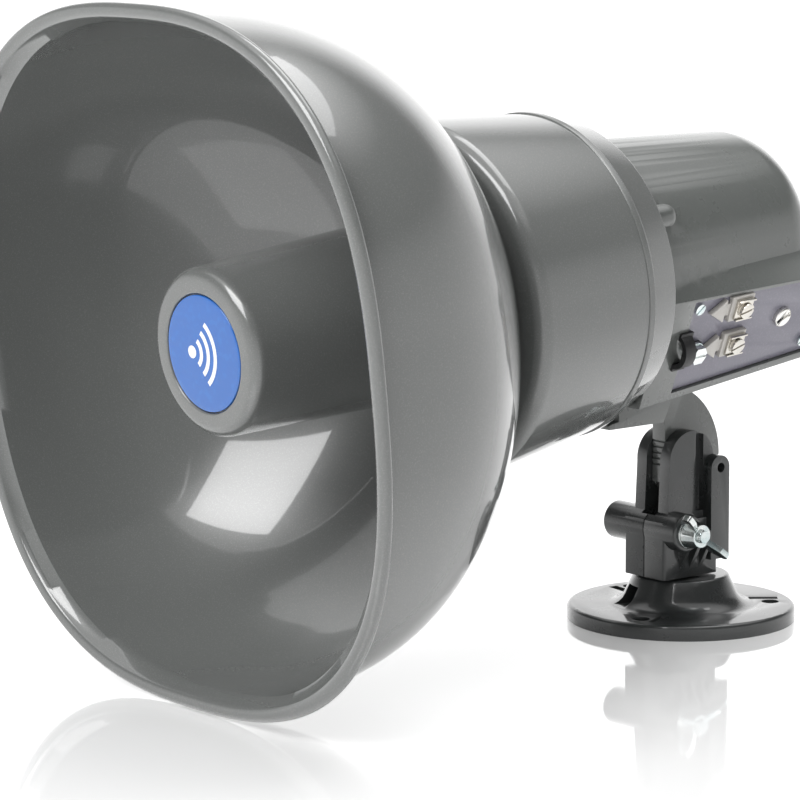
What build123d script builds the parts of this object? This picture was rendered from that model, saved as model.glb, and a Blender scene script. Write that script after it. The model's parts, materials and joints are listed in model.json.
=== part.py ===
from build123d import *
import math
import os

# Re-entrant paging horn on a swivel mount. Millimetres, +Z up, mouth towards -Y.
# The origin is the centre of the base flange's underside. Parts of the horn are drawn in the
# horn's own frame (Y along its axis, rearward) and tilted into place by on_horn().

# ---- horn attitude
TILT = 5.27                    # nose-down angle at rest, so that the rim just meets the floor
AXIS_HEIGHT = 168.7            # horn axis above the floor, over the base centre

# ---- bell
MOUTH_Y = -286.0               # front face of the lip
LIP_HALF_W, LIP_HALF_H = 139.1, 143.0
LIP_DEPTH, LIP_WIDTH = 5.5, 6.4
LIP_SQUARENESS = 2.61          # superellipse exponent of the mouth
BELL_HALF_W, BELL_HALF_H = 132.5, 137.7
BELL_SQUARENESS = 2.45
BELL_WALL = 2.6
NECK_Y, NECK_R = -151.0, 57.2
FLARE_A, FLARE_B = 2.468, 1.109  # exponents of the bowl-shaped flare
FLARE_STEPS = (0, 0.1, 0.2, 0.3, 0.4, 0.5, 0.59, 0.67, 0.75, 0.82, 0.88, 0.93, 0.97, 1.0)
THROAT_END_Y, THROAT_R = -104.0, 58.6

# ---- reflector (central bullet) and tone arm
NOSE_Y, NOSE_R = -264.0, 34.6
REFLECTOR_REAR_Y, REFLECTOR_REAR_R = -92.0, 41.0
REFLECTOR_WALL = 2.4
NOSE_ROUND, NOSE_FACE_T = 4.0, 4.5
BADGE_R, BADGE_T, BADGE_SINK = 23.9, 1.4, 1.6
BADGE_PLAY = 0.3
ARM_FRONT_Y, ARM_FRONT_R = -222.0, 19.0
ARM_REAR_R, ARM_WALL = 12.0, 2.2
ARM_FLANGE_R, ARM_FLANGE_T = 26.0, 4.0
SADDLE_Y = (-205.0, -125.0)    # front and rear of the reflector's support fins
FIN_T, FIN_RING_T, FIN_RING_LENGTH = 3.0, 3.0, 14.0
FIN_GAP = 0.25                 # between the fins and the reflector's inside
SLIP = 0.1                     # radial gap where fixed pieces slide together

# ---- drum
DRUM_FRONT_Y, DRUM_FRONT_R = -150.8, 77.0
RIDGE_Y, RIDGE_R = -86.0, 70.6
DRUM_REAR_Y, DRUM_REAR_R = -65.4, 64.0
DRUM_WALL, DRUM_ROUND = 3.0, 5.0
COLLAR_T, COLLAR_LENGTH = 3.0, 14.0
RIDGE_WIDTH, RIDGE_STEP = 3.0, 2.2
GASKET_T = 1.4
GASKET_R = (46.0, 61.5)        # inner and outer radius
SCREW_SHANK_R, SCREW_HEAD_R = 1.9, 3.6

# ---- driver housing
HOUSING_Y = DRUM_REAR_Y + GASKET_T
HOUSING_FRONT_R, HOUSING_END_R = 54.9, 44.0
HOUSING_END_Y, HOUSING_ROUND = 45.0, 25.0
HOUSING_WALL = 3.0
BOX_END_Y = 41.0
SHOULDER_FRONT, SHOULDER_REAR = (52.5, 2.0), (43.5, -4.0)   # (x, z) where the box leaves the barrel
PANEL_LEAN = 24.8              # the panel faces outward and this much downward
PANEL_TOP, PANEL_BOTTOM = (56.8, -11.0), (34.8, -58.5)   # (x, z) of its long edges at the front
TAPER_TOP, TAPER_BOTTOM = 4.7, 5.7                       # how much each edge draws in at the rear
PANEL_BORDER_TOP, PANEL_BORDER_BOTTOM = 1.6, 3.4
PANEL_Y = (-46.5, 35.5)
PANEL_T = 2.4
PANEL_SINK = 1.6               # depth of the panel below its frame
BOSS_R, BOSS_LENGTH, BOSS_ANGLE, BOSS_CIRCLE_R = 5.4, 16.0, 28.0, 52.0
LOW_BOSS = (26.0, -50.5)       # (x, z) of the two lower screw bosses
BOX_ROUND = 3.5
LEDGE_T, LEDGE_WIDTH = 1.1, 2.5    # ledge that the terminal panel is screwed down on

# ---- terminal panel; places are (rearward, up the face from the panel's top edge)
TERMINALS = [(-23.0, -10.2), (-22.2, -28.4)]
TAP_PLACE = (12.2, -22.2)
CLIP_PLACE = (-40.2, -28.0)
SCREW_OFFSET = 5.5             # terminal screw behind the terminal's own place
TERMINAL_HOLE_R, TERMINAL_SHANK_R, TERMINAL_HEAD_R = 1.85, 1.75, 3.7
CARRIER_W, CARRIER_L, CARRIER_T = 12.0, 13.0, 2.6
SADDLE_W, SADDLE_T, EAR_HIGH, EAR_T = 9.6, 1.1, 1.8, 0.7
TAP_R = 4.6
CLIP_BOLT_R, CLIP_HOLE_R = 2.0, 2.05
CLIP_LOOP_R, CLIP_LOOP_T, CLIP_LOOP_W = 8.4, 2.2, 6.0
PANEL_SCREW_R, PANEL_HEAD_R, PANEL_HEAD_T = 1.3, 2.7, 1.4

# ---- swivel mount
BRACKET_HALF_W, BRACKET_Y, BRACKET_T = 20.0, (-62.5, 8.0), 5.0    # base plate under the housing
BRACKET_TOE = (-68.4, -66.5)   # stations of the toe that reaches under the drum
BRACKET_DEEP_Z = 94.0          # level underside of the bracket's front block, above the floor
BRACKET_DEEP_END_Y = -30.0
BRACKET_SCREW_X, BRACKET_SCREW_Y = (-13.0, 13.0), (-50.0, -2.0)
BASE_R, BASE_T = 50.8, 6.8
HUB_LOW_R, HUB_TOP_R, HUB_TOP_Z, HUB_HOLLOW_R = 27.5, 21.0, 20.5, 9.0
SCREW_CIRCLE_R, SCREW_HOLE_R, SCREW_AZIMUTH = 40.0, 3.9, 50.8
SLOT_L, SLOT_W, SLOT_OFFSET, SLOT_DEEP = 13.0, 4.4, 7.6, 1.2    # shallow slot beside each screw hole
NOTCH_HALF_W, NOTCH_Y, NOTCH_TOP_Z, NOTCH_TURN = 5.0, (-40.0, -16.5), 16.0, -20.0
FLANGE_ROUND = 1.8
STEM_R, STEM_HEAD_R, STEM_HEAD_Z = 7.5, 10.5, (30.0, 35.0)
CLAMP_Z = 21.3
CLAMP_GAP = 0.3                # half the gap between the two clamp halves
PIVOT_Y, PIVOT_Z = -5.0, 71.0
TONGUE_R, TONGUE_HALF_T = 25.6, 4.0   # largest reach of the tongue below its pivot
TONGUE_FRONT, TONGUE_BACK_R = -9.1, 34.2          # its front edge and rear arc, from the pivot
TONGUE_BACK_CENTRE = (-10.2, 1.6)
TOOTH_COUNT, TOOTH_STEP, TOOTH_DEEP = 5, 2.6, 0.7
SIDE_PLAY = 0.35               # tongue face to clamp face
EAR_OUT_X, EAR_R = 10.6, 13.2
BARREL_Y, BARREL_Z, BARREL_R = -14.8, 42.8, 8.5
BARREL_RIGHT_X, BARREL_LEFT_X = 20.0, 26.5
BOLT_R = 2.9
PIN_R, PIN_HALF = 4.0, 8.0
LUG_X, LUG_R = (9.0, 16.0), 5.5
LUG_Y, LUG_Z, LUG_HOLE_R = 8.5, 69.0, 2.2
RIB_COUNT, RIB_T, RIB_STEP, RIB_LEAN = 3, 1.8, 6.0, 28.0
BOLT_PLAY = 0.2
BOLT_HEAD_R, BOLT_HEAD_T, BOLT_END_X = 5.7, 3.8, 31.0
WASHER_R, WASHER_T = 6.6, 1.4
WING_ANGLE, WING_HALF_T = -40.0, 1.25
WING_HUB_R, WING_HUB_TOP_R, WING_HUB_L = 6.4, 5.0, 7.0
RUN_FIT = 0.06

# ---- driver
THROAT_HOLE_R = 9.5
COIL_R, COIL_WALL = 18.4, 0.8
PLATE_R = 38.0
POLE_GAP = 0.9                 # pole piece to voice coil
MAGNET_Y = (-40.0, -24.0)
PLATE_FRONT_Y, YOKE_REAR_Y = -46.0, -17.5
DOME_R, DOME_T = 27.5, 0.6
COIL_Y = (-44.0, -38.5)
CORE_HALF_W, CORE_Y, CORE_Z = 17.0, (-6.0, 12.0), (-2.0, 26.0)
WINDOW_Z, WINDOW_W = (3.0, 21.0), 6.0
LEAD_R = 0.8


def on_horn(shape):
    return Pos(0, 0, AXIS_HEIGHT) * Rot(TILT, 0, 0) * shape


def save(name, shape):
    os.makedirs("parts", exist_ok=True)
    export_step(shape, "parts/" + name + ".step")


def turned(points, axis=Axis.Y):
    """Solid of revolution: (radius, station) points closed to a face and spun round an axis."""
    plane = Plane.XY if axis == Axis.Y else Plane.XZ
    face = plane * make_face(Polyline(*points, close=True))
    return revolve(face, axis)


def tube_y(radius, y0, y1, x=0, z=0):
    """Round bar along Y from y0 to y1."""
    return Pos(x, (y0 + y1) / 2, z) * Rot(90, 0, 0) * Cylinder(radius, abs(y1 - y0))


def tube_x(radius, x0, x1, y=0, z=0):
    """Round bar along X from x0 to x1."""
    return Pos((x0 + x1) / 2, y, z) * Rot(0, 90, 0) * Cylinder(radius, abs(x1 - x0))


def block(x0, x1, y0, y1, z0, z1):
    return Pos((x0 + x1) / 2, (y0 + y1) / 2, (z0 + z1) / 2) * Box(x1 - x0, y1 - y0, z1 - z0)


def side_plate(points, x0, x1):
    """Plate of constant thickness in X, from (y, z) outline points."""
    face = Plane.YZ * make_face(Polyline(*points, close=True))
    return Pos(x0, 0, 0) * extrude(face, x1 - x0)


# ---------------------------------------------------------------- bell
def superellipse(half_w, half_h, power, y, count=36):
    """Closed outline across the horn axis at station y."""
    points = []
    for i in range(count):
        angle = 2 * math.pi * i / count
        c, s = math.cos(angle), math.sin(angle)
        x = half_w * math.copysign(abs(c) ** (2 / power), c)
        z = half_h * math.copysign(abs(s) ** (2 / power), s)
        points.append((x, y, z))
    return make_face(Spline(*points, periodic=True))


def flare(t, inset):
    """Half width, half height, squareness and station of the bell wall, t from 0 at the lip to 1."""
    full = (1 - t ** FLARE_A) ** (1 / FLARE_B)
    half_w = NECK_R + (BELL_HALF_W - NECK_R) * full - inset
    half_h = NECK_R + (BELL_HALF_H - NECK_R) * full - inset
    front = MOUTH_Y + LIP_DEPTH + 0.4
    return half_w, half_h, 2 + (BELL_SQUARENESS - 2) * full, front + (NECK_Y - front) * t


def wall_sections(inset, past_end):
    """Outlines of the bell wall from the lip through the neck to the end of its throat tube."""
    outlines = [superellipse(*flare(t, inset)) for t in FLARE_STEPS]
    throat_r = THROAT_R - inset
    outlines.append(superellipse(throat_r, throat_r, 2, THROAT_END_Y + past_end))
    return outlines


def lip_sections(profile):
    """Outlines of the lip from (depth behind the mouth, inset from the rim) pairs."""
    return [superellipse(LIP_HALF_W - inset, LIP_HALF_H - inset, LIP_SQUARENESS, MOUTH_Y + depth)
            for depth, inset in profile]


def bell():
    rounded = [(0, 2.2), (0.5, 0.8), (1.5, 0.1), (2.4, 0), (LIP_DEPTH - 1.2, 0.2), (LIP_DEPTH, 1.2)]
    outer = loft(lip_sections(rounded) + wall_sections(0, 0), ruled=True)
    opening = [(-0.5, LIP_WIDTH - 1.2), (0.9, LIP_WIDTH - 0.2), (2.0, LIP_WIDTH)]
    inner = loft(lip_sections(opening) + wall_sections(BELL_WALL, 0.5), ruled=True)
    return outer - inner


# ---------------------------------------------------------------- reflector and tone arm
def reflector_radius(y):
    t = (y - NOSE_Y) / (REFLECTOR_REAR_Y - NOSE_Y)
    return NOSE_R + (REFLECTOR_REAR_R - NOSE_R) * t


def reflector():
    shell = turned([(0, NOSE_Y), (NOSE_R, NOSE_Y), (REFLECTOR_REAR_R, REFLECTOR_REAR_Y),
                    (REFLECTOR_REAR_R - REFLECTOR_WALL, REFLECTOR_REAR_Y),
                    (NOSE_R - REFLECTOR_WALL, NOSE_Y + NOSE_FACE_T), (0, NOSE_Y + NOSE_FACE_T)])
    nose_edge = shell.edges().filter_by(GeomType.CIRCLE).sort_by(Axis.Y)[0]
    shell = fillet(nose_edge, NOSE_ROUND)
    return shell - tube_y(BADGE_R + BADGE_PLAY, NOSE_Y - 1, NOSE_Y + BADGE_SINK)


def badge():
    disc = tube_y(BADGE_R, NOSE_Y + BADGE_SINK - BADGE_T, NOSE_Y + BADGE_SINK)
    return chamfer(disc.edges().sort_by(Axis.Y)[0], 0.4)


def arm_radius(y):
    t = (y - ARM_FRONT_Y) / (DRUM_REAR_Y - ARM_FLANGE_T - ARM_FRONT_Y)
    return ARM_FRONT_R + (ARM_REAR_R - ARM_FRONT_R) * t


def tone_arm():
    rear = DRUM_REAR_Y - ARM_FLANGE_T
    face = rear - ARM_FLANGE_T
    return turned([(ARM_FRONT_R - ARM_WALL, ARM_FRONT_Y), (ARM_FRONT_R, ARM_FRONT_Y),
                   (arm_radius(face), face), (ARM_FLANGE_R, face), (ARM_FLANGE_R, rear),
                   (ARM_REAR_R - ARM_WALL, rear)])


def reflector_fins():
    """Three fins that carry the reflector on the tone arm, with their rings."""
    front, rear = SADDLE_Y
    clear = REFLECTOR_WALL + FIN_GAP
    envelope = turned([(arm_radius(front) + SLIP, front), (reflector_radius(front) - clear, front),
                       (reflector_radius(rear) - clear, rear), (arm_radius(rear) + SLIP, rear)])
    start = rear - FIN_RING_LENGTH
    ring = turned([(arm_radius(start) + SLIP, start), (arm_radius(start) + FIN_RING_T, start),
                   (arm_radius(rear) + FIN_RING_T, rear), (arm_radius(rear) + SLIP, rear)])
    fins = [Rot(0, 90 + 120 * i, 0) * block(0, 60, front, rear, -FIN_T / 2, FIN_T / 2) for i in range(3)]
    return ((fins[0] + fins[1] + fins[2]) & envelope) + ring


# ---------------------------------------------------------------- drum
def drum_casing():
    inner_r = DRUM_FRONT_R - DRUM_WALL
    lap_r = RIDGE_R - DRUM_WALL
    shell = turned([(NECK_R + 0.6, DRUM_FRONT_Y), (DRUM_FRONT_R, DRUM_FRONT_Y), (RIDGE_R - 0.6, RIDGE_Y),
                    (lap_r - 0.6, RIDGE_Y), (inner_r, DRUM_FRONT_Y + DRUM_WALL),
                    (NECK_R + 0.6, DRUM_FRONT_Y + DRUM_WALL)])
    front_rim = shell.edges().filter_by(GeomType.CIRCLE).sort_by(SortBy.RADIUS)[-1]
    shell = fillet(front_rim, DRUM_ROUND)
    y0, y1 = DRUM_FRONT_Y + DRUM_WALL, DRUM_FRONT_Y + COLLAR_LENGTH
    collar = turned([(THROAT_R + SLIP, y0), (THROAT_R + COLLAR_T, y0), (THROAT_R + COLLAR_T, y1),
                     (THROAT_R + SLIP, y1)])
    return shell + collar


def drum_cover():
    """Rear cover of the drum: the raised ridge, a short skirt and the wall that turns the sound."""
    y0, y1 = RIDGE_Y + 0.05, DRUM_REAR_Y
    cover = turned([(0, y1 - 4), (30, y1 - 4), (58, y1 - 9), (66, y0), (RIDGE_R, y0),
                    (RIDGE_R, y0 + RIDGE_WIDTH), (RIDGE_R - RIDGE_STEP, y0 + RIDGE_WIDTH + 2),
                    (DRUM_REAR_R, y1), (0, y1)])
    cover -= tube_y(ARM_REAR_R - ARM_WALL, y1 - 10, y1 + 1)
    return cover - housing_screw_set(0.05)


def housing_screw_places():
    angle = math.radians(BOSS_ANGLE)
    x, z = BOSS_CIRCLE_R * math.cos(angle), BOSS_CIRCLE_R * math.sin(angle)
    return [(x, z), (-x, z), (LOW_BOSS[0], LOW_BOSS[1]), (-LOW_BOSS[0], LOW_BOSS[1])]


def housing_screw_set(grow=0.0):
    screws = []
    for x, z in housing_screw_places():
        shank = tube_y(SCREW_SHANK_R + grow, DRUM_REAR_Y - 8, HOUSING_Y + 10, x, z)
        head = tube_y(SCREW_HEAD_R + grow, DRUM_REAR_Y - 12 - 10 * grow, DRUM_REAR_Y - 3, x, z)
        screws.append(shank + head)
    return screws[0] + screws[1] + screws[2] + screws[3]


# ---------------------------------------------------------------- driver housing
def slant(v):
    """Point (x, z) on the panel's plane, v down from its top edge."""
    lean = math.radians(PANEL_LEAN)
    return PANEL_TOP[0] - v * math.sin(lean), PANEL_TOP[1] - v * math.cos(lean)


def panel_height():
    return math.dist(PANEL_TOP, PANEL_BOTTOM)


def box_section(y, top_v, bottom_v, shoulder, inset=0.0):
    lean = math.radians(PANEL_LEAN)
    xt, zt = slant(top_v + inset * 0.6)
    xb, zb = slant(bottom_v - inset * 0.6)
    xt, xb = xt - inset / math.cos(lean), xb - inset / math.cos(lean)
    zb += inset * 0.4
    xs, zs = shoulder
    half = [(xs - inset, zs), (xt, zt), (xb, zb)]
    points = [(x, y, z) for x, z in half] + [(-x, y, z) for x, z in reversed(half)]
    return make_face(Polyline(*points, close=True))


def housing_form(inset=0.0):
    """Closed form of the housing: a drafted barrel with a domed end and a box along its underside."""
    end = HOUSING_END_Y - inset
    side = make_face(Polyline((0, HOUSING_Y), (HOUSING_FRONT_R - inset, HOUSING_Y),
                              (HOUSING_END_R - inset, end), (0, end), close=True))
    outer_corner = side.vertices().group_by(Axis.Y)[-1].sort_by(Axis.X)[-1]
    barrel = revolve(fillet(outer_corner, HOUSING_ROUND - inset), Axis.Y)
    high = panel_height()
    box = loft([box_section(HOUSING_Y, 0, high, SHOULDER_FRONT, inset),
                box_section(BOX_END_Y - inset, TAPER_TOP, high - TAPER_BOTTOM, SHOULDER_REAR, inset)])
    if inset == 0:
        rear_edges = box.edges().group_by(Axis.Y)[-1]
        box = fillet(rear_edges, BOX_ROUND)
    return barrel + box


def panel_plane():
    x, z = PANEL_TOP
    lean = math.radians(PANEL_LEAN)
    return Plane(origin=(x, 0, z), x_dir=(0, 1, 0), z_dir=(math.cos(lean), 0, -math.sin(lean)))


def panel_outline(margin):
    """Terminal panel outline in the panel's plane: X rearward, Y up the face from its top edge."""
    y0, y1 = PANEL_Y[0] + margin, PANEL_Y[1] - margin
    high = panel_height()
    span = BOX_END_Y - HOUSING_Y

    def top(y):
        return -TAPER_TOP * (y - HOUSING_Y) / span - PANEL_BORDER_TOP - margin

    def bottom(y):
        return -high + TAPER_BOTTOM * (y - HOUSING_Y) / span + PANEL_BORDER_BOTTOM + margin
    return make_face(Polyline((y0, top(y0)), (y1, top(y1)), (y1, bottom(y1)), (y0, bottom(y0)), close=True))


def boss(x, z):
    """Blind screw boss with a rounded rear end, half sunk in the housing wall."""
    shoulder = BOSS_LENGTH - BOSS_R
    outline = Polyline((0, BOSS_LENGTH), (0, 0), (BOSS_R, 0), (BOSS_R, shoulder))
    outline += CenterArc((0, shoulder), BOSS_R, start_angle=0, arc_size=90)
    return Pos(x, HOUSING_Y, z) * revolve(make_face(outline), Axis.Y)


def rear_housing():
    shell = housing_form() - housing_form(HOUSING_WALL)
    for x, z in housing_screw_places():
        shell += boss(x, z)
    window = panel_plane() * extrude(panel_outline(-0.15), amount=8, both=True)
    ledge_low = -PANEL_SINK - PANEL_T - SLIP - LEDGE_T
    ledge = panel_plane() * Pos(0, 0, ledge_low) * extrude(panel_outline(-0.2), LEDGE_T)
    opening = panel_plane() * Pos(0, 0, -12) * extrude(panel_outline(LEDGE_WIDTH), 20)
    shell = shell - window + (ledge - opening)
    shell -= housing_screw_set(0.05)
    shell -= panel_screw_set(0.05)
    return shell - bracket_screw_set(0.05)


def housing_gasket():
    inner, outer = GASKET_R
    ring = turned([(inner, DRUM_REAR_Y), (outer, DRUM_REAR_Y), (outer, HOUSING_Y), (inner, HOUSING_Y)])
    return ring - housing_screw_set(0.1)


# ---------------------------------------------------------------- terminal panel
def face_up(shape, place, depth=0.0):
    """Puts a shape that was drawn round the origin on the terminal panel's outer face."""
    return panel_plane() * Pos(place[0], place[1], -PANEL_SINK - depth) * shape


def terminal_panel():
    plate = panel_plane() * Pos(0, 0, -PANEL_SINK - PANEL_T) * extrude(panel_outline(0.15), PANEL_T)
    for place in TERMINALS:
        plate -= face_up(Pos(SCREW_OFFSET, 0, 0) * Cylinder(TERMINAL_HOLE_R, 20), place)
    plate -= face_up(Cylinder(TAP_R + RUN_FIT, 20), TAP_PLACE)
    plate -= face_up(Cylinder(CLIP_HOLE_R, 20), CLIP_PLACE)
    return plate - panel_screw_set(0.05)


def panel_screw_places():
    high = panel_height()
    return [(PANEL_Y[1] - 5.5, -high / 2 - 12), (PANEL_Y[1] - 5.5, -high / 2 + 8), (PANEL_Y[0] + 4.4, -7.0)]


def panel_screw_set(grow=0.0):
    screws = []
    for place in panel_screw_places():
        head = Pos(0, 0, PANEL_HEAD_T / 2) * Cylinder(PANEL_HEAD_R + grow, PANEL_HEAD_T)
        shank = Pos(0, 0, -3) * Cylinder(PANEL_SCREW_R + grow, 6)
        screw = head + shank
        if grow == 0:
            screw -= Pos(0, 0, PANEL_HEAD_T) * Box(4.2, 0.7, 1.2)
        screws.append(face_up(screw, place))
    return screws[0] + screws[1] + screws[2]


def terminal_base(place):
    """Moulded pointed carrier under one terminal screw."""
    point = Polyline((-13, 0), (-4.5, 5.6), (-4.5, -5.6), close=True)
    body = extrude(make_face(point), CARRIER_T)
    body += Pos(5, 0, CARRIER_T / 2) * Box(CARRIER_L, CARRIER_W, CARRIER_T)
    body += Pos(-3, 0, 0.8) * Box(4, CARRIER_W / 2, 1.6)
    body -= Pos(SCREW_OFFSET, 0, 0) * Cylinder(TERMINAL_HOLE_R, 20)
    return face_up(body, place)


def terminal_clamp(place):
    """Square wire saddle with turned-up ears."""
    plate = Pos(SCREW_OFFSET, 0, CARRIER_T + 0.05 + SADDLE_T / 2) * Box(SADDLE_W, SADDLE_W, SADDLE_T)
    for side in (-1, 1):
        plate += Pos(SCREW_OFFSET, side * (SADDLE_W - 0.6) / 2, 4.1) * Box(SADDLE_W, EAR_T, EAR_HIGH)
    return face_up(plate - Pos(SCREW_OFFSET, 0, 0) * Cylinder(TERMINAL_HOLE_R, 20), place)


def terminal_screw(place):
    head = Pos(0, 0, 4.9) * Cylinder(TERMINAL_HEAD_R, 2.2) - Pos(0, 0, 6.0) * Box(9, 1.0, 1.6)
    shank = Pos(0, 0, -1.6) * Cylinder(TERMINAL_SHANK_R, 10.8)
    return face_up(Pos(SCREW_OFFSET, 0, 0) * (head + shank), place)


def tap_switch_body():
    body = Pos(0, 0, -8.5) * Cylinder(10, 12)
    body -= Pos(0, 0, -5) * Cylinder(TAP_R + RUN_FIT, 12)
    pins = Pos(0, 0, -17) * Cylinder(1.2, 5)
    for i in range(5):
        pins += Rot(0, 0, 60 + 60 * i) * Pos(7.5, 0, -17) * Cylinder(0.9, 5)
    return face_up(body + pins, TAP_PLACE, 0.05)


def tap_selector():
    """Screwdriver-slot rotor of the power tap switch."""
    rotor = Pos(0, 0, -3.6) * Cylinder(TAP_R, 11.2)
    rotor = chamfer(rotor.edges().sort_by(Axis.Z)[-1], 0.5)
    rotor -= Pos(0, 0, 2.0) * Box(7.6, 1.3, 2.6)
    rotor -= Pos(3.4, 0, 2.0) * Box(1.6, 2.4, 1.4)
    return face_up(Rot(0, 0, 25) * rotor, TAP_PLACE)


def cable_clip():
    """Black strain-relief clip: half a loop for the line cable on a tab held by its bolt."""
    frame_top = PANEL_SINK + 0.05
    tab = Pos(-1.2, 0, 0.95) * Box(9.6, 8, 1.9)
    tab += Pos(-4.6, 2, 0.95) * Box(2.8, 2 * CLIP_LOOP_R, 1.9)
    loop = Cylinder(CLIP_LOOP_R, CLIP_LOOP_W) - Cylinder(CLIP_LOOP_R - CLIP_LOOP_T, CLIP_LOOP_W + 2)
    loop = Pos(-8.2, 2, 0) * Rot(0, 90, 0) * loop
    loop &= Pos(-8.2, 2, frame_top + 6) * Box(20, 24, 12)
    for side in (-1, 1):
        foot_y = 2 + side * (CLIP_LOOP_R - 0.8)
        loop += Pos(-7.6, foot_y, frame_top + 0.6) * Box(CLIP_LOOP_W + 1.2, 3.4, 1.2)
    return face_up(tab + loop - Cylinder(CLIP_HOLE_R, 30), CLIP_PLACE)


def clip_bolt():
    head = Pos(0, 0, 3.0) * extrude(RegularPolygon(4.5, 6), 3.2)
    head -= Pos(0, 0, 6.4) * Box(10, 1.2, 1.6)
    washer = Pos(0, 0, 2.5) * Cylinder(4.8, 1.1)
    shank = Pos(0, 0, -3) * Cylinder(CLIP_BOLT_R, 12)
    return face_up(head + washer + shank, CLIP_PLACE)


# ---------------------------------------------------------------- driver and transformer
def driver_front_plate():
    front = HOUSING_Y + 0.2
    plate = turned([(THROAT_HOLE_R, front), (46, front), (46, PLATE_FRONT_Y), (31, PLATE_FRONT_Y),
                    (31, -56.5), (24, -58.5), (THROAT_HOLE_R, -59.5)])
    return plate - housing_screw_set(0.4)


def phase_plug():
    cone = turned([(0, -63.0), (1.2, -63.0), (6.2, -58.6), (0, -58.6)])
    fins = [Rot(0, 120 * i, 0) * block(0, THROAT_HOLE_R - 0.05, -62.4, -59.6, -0.6, 0.6) for i in range(3)]
    return cone + fins[0] + fins[1] + fins[2]


def diaphragm():
    dome = Pos(0, -30.0, 0) * (Sphere(DOME_R) - Sphere(DOME_R - DOME_T))
    dome &= tube_y(19.2, -60, -50)
    former = turned([(COIL_R, -49.5), (COIL_R + 0.4, -49.5), (COIL_R + 0.4, COIL_Y[0]), (COIL_R, COIL_Y[0])])
    cut = dome.bounding_box().max.Y
    joint = turned([(COIL_R - 0.6, cut - 0.6), (COIL_R + 0.8, cut - 0.6), (COIL_R + 0.8, -49.4),
                    (COIL_R - 0.6, -49.4)])
    return dome + joint + former


def voice_coil():
    front, rear = COIL_Y
    return turned([(COIL_R, front), (COIL_R + COIL_WALL, front), (COIL_R + COIL_WALL, rear), (COIL_R, rear)])


def surround_ring():
    return turned([(20.4, -51.6), (30.6, -51.6), (30.6, -50.2), (20.4, -50.2)])


def spacer_ring():
    return turned([(22.5, -50.2), (30.8, -50.2), (30.8, PLATE_FRONT_Y), (22.5, PLATE_FRONT_Y)])


def magnet_top_plate():
    front, rear = PLATE_FRONT_Y, MAGNET_Y[0]
    return turned([(20.2, front), (PLATE_R, front), (PLATE_R, rear), (20.2, rear)])


def ring_magnet():
    front, rear = MAGNET_Y
    return turned([(24, front), (PLATE_R + 2, front), (PLATE_R + 2, rear), (24, rear)])


def magnet_yoke():
    pole_r, step = COIL_R - POLE_GAP, MAGNET_Y[1]
    return turned([(0, PLATE_FRONT_Y - 0.5), (pole_r, PLATE_FRONT_Y - 0.5), (pole_r, step), (PLATE_R, step),
                   (PLATE_R, YOKE_REAR_Y), (0, YOKE_REAR_Y)])


def transformer_core():
    core = block(-CORE_HALF_W, CORE_HALF_W, *CORE_Y, *CORE_Z)
    for side in (-1, 1):
        middle = side * CORE_HALF_W / 2
        core -= block(middle - WINDOW_W / 2, middle + WINDOW_W / 2, CORE_Y[0] - 1, CORE_Y[1] + 1, *WINDOW_Z)
    return core


def transformer_coil():
    coil = block(-11.2, 11.2, -10, 16, 3.4, 20.6)
    return fillet(coil.edges().filter_by(Axis.Z), 2.0) - block(-5.5, 5.5, *CORE_Y, *WINDOW_Z)


def transformer_bracket():
    return block(-24, 24, -17.4, -16, -3.6, 22) + block(-16, 16, -16.5, 12, -3.6, -2.05)


def lead_wires():
    """Four leads from the transformer to the tap switch and the two terminals."""
    panel = panel_plane()
    ends = [(TAP_PLACE[0] + 6.5, TAP_PLACE[1] + 3.8, 21.3), (TAP_PLACE[0] - 3.8, TAP_PLACE[1] - 6.5, 21.3),
            (TERMINALS[0][0] + 5.5, TERMINALS[0][1], 8.9), (TERMINALS[1][0] + 5.5, TERMINALS[1][1], 8.9)]
    wires = []
    for i, (x, y, depth) in enumerate(ends):
        start = Vector(9 - 4 * i, 14.4, 3.3)
        turn = Vector(9 - 4 * i, 14.4, -9 - 2 * i)
        before = panel.from_local_coords(Vector(x, y, -depth - 5))
        end = panel.from_local_coords(Vector(x, y, -depth))
        route = FilletPolyline(start, turn, before, end, radius=2.5)
        wires.append(sweep(Plane(origin=start, z_dir=(0, 0, -1)) * Circle(LEAD_R), route))
    return wires[0] + wires[1] + wires[2] + wires[3]


# ---------------------------------------------------------------- tongue bracket
def underside_z(y):
    low = slant(panel_height())[1]
    lean = math.cos(math.radians(PANEL_LEAN))
    return low + TAPER_BOTTOM * lean * (y - HOUSING_Y) / (BOX_END_Y - HOUSING_Y)


def pivot_in_horn():
    """The tilt pivot, in the horn's own frame, as (y, z)."""
    t = math.radians(TILT)
    dy, dz = PIVOT_Y, PIVOT_Z - AXIS_HEIGHT
    return dy * math.cos(t) + dz * math.sin(t), -dy * math.sin(t) + dz * math.cos(t)


def from_pivot(dy, dz):
    """Horn-frame (y, z) of a point that is (dy, dz) from the pivot when the horn is at rest."""
    t = math.radians(TILT)
    py, pz = pivot_in_horn()
    return py + dy * math.cos(t) + dz * math.sin(t), pz - dy * math.sin(t) + dz * math.cos(t)


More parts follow.
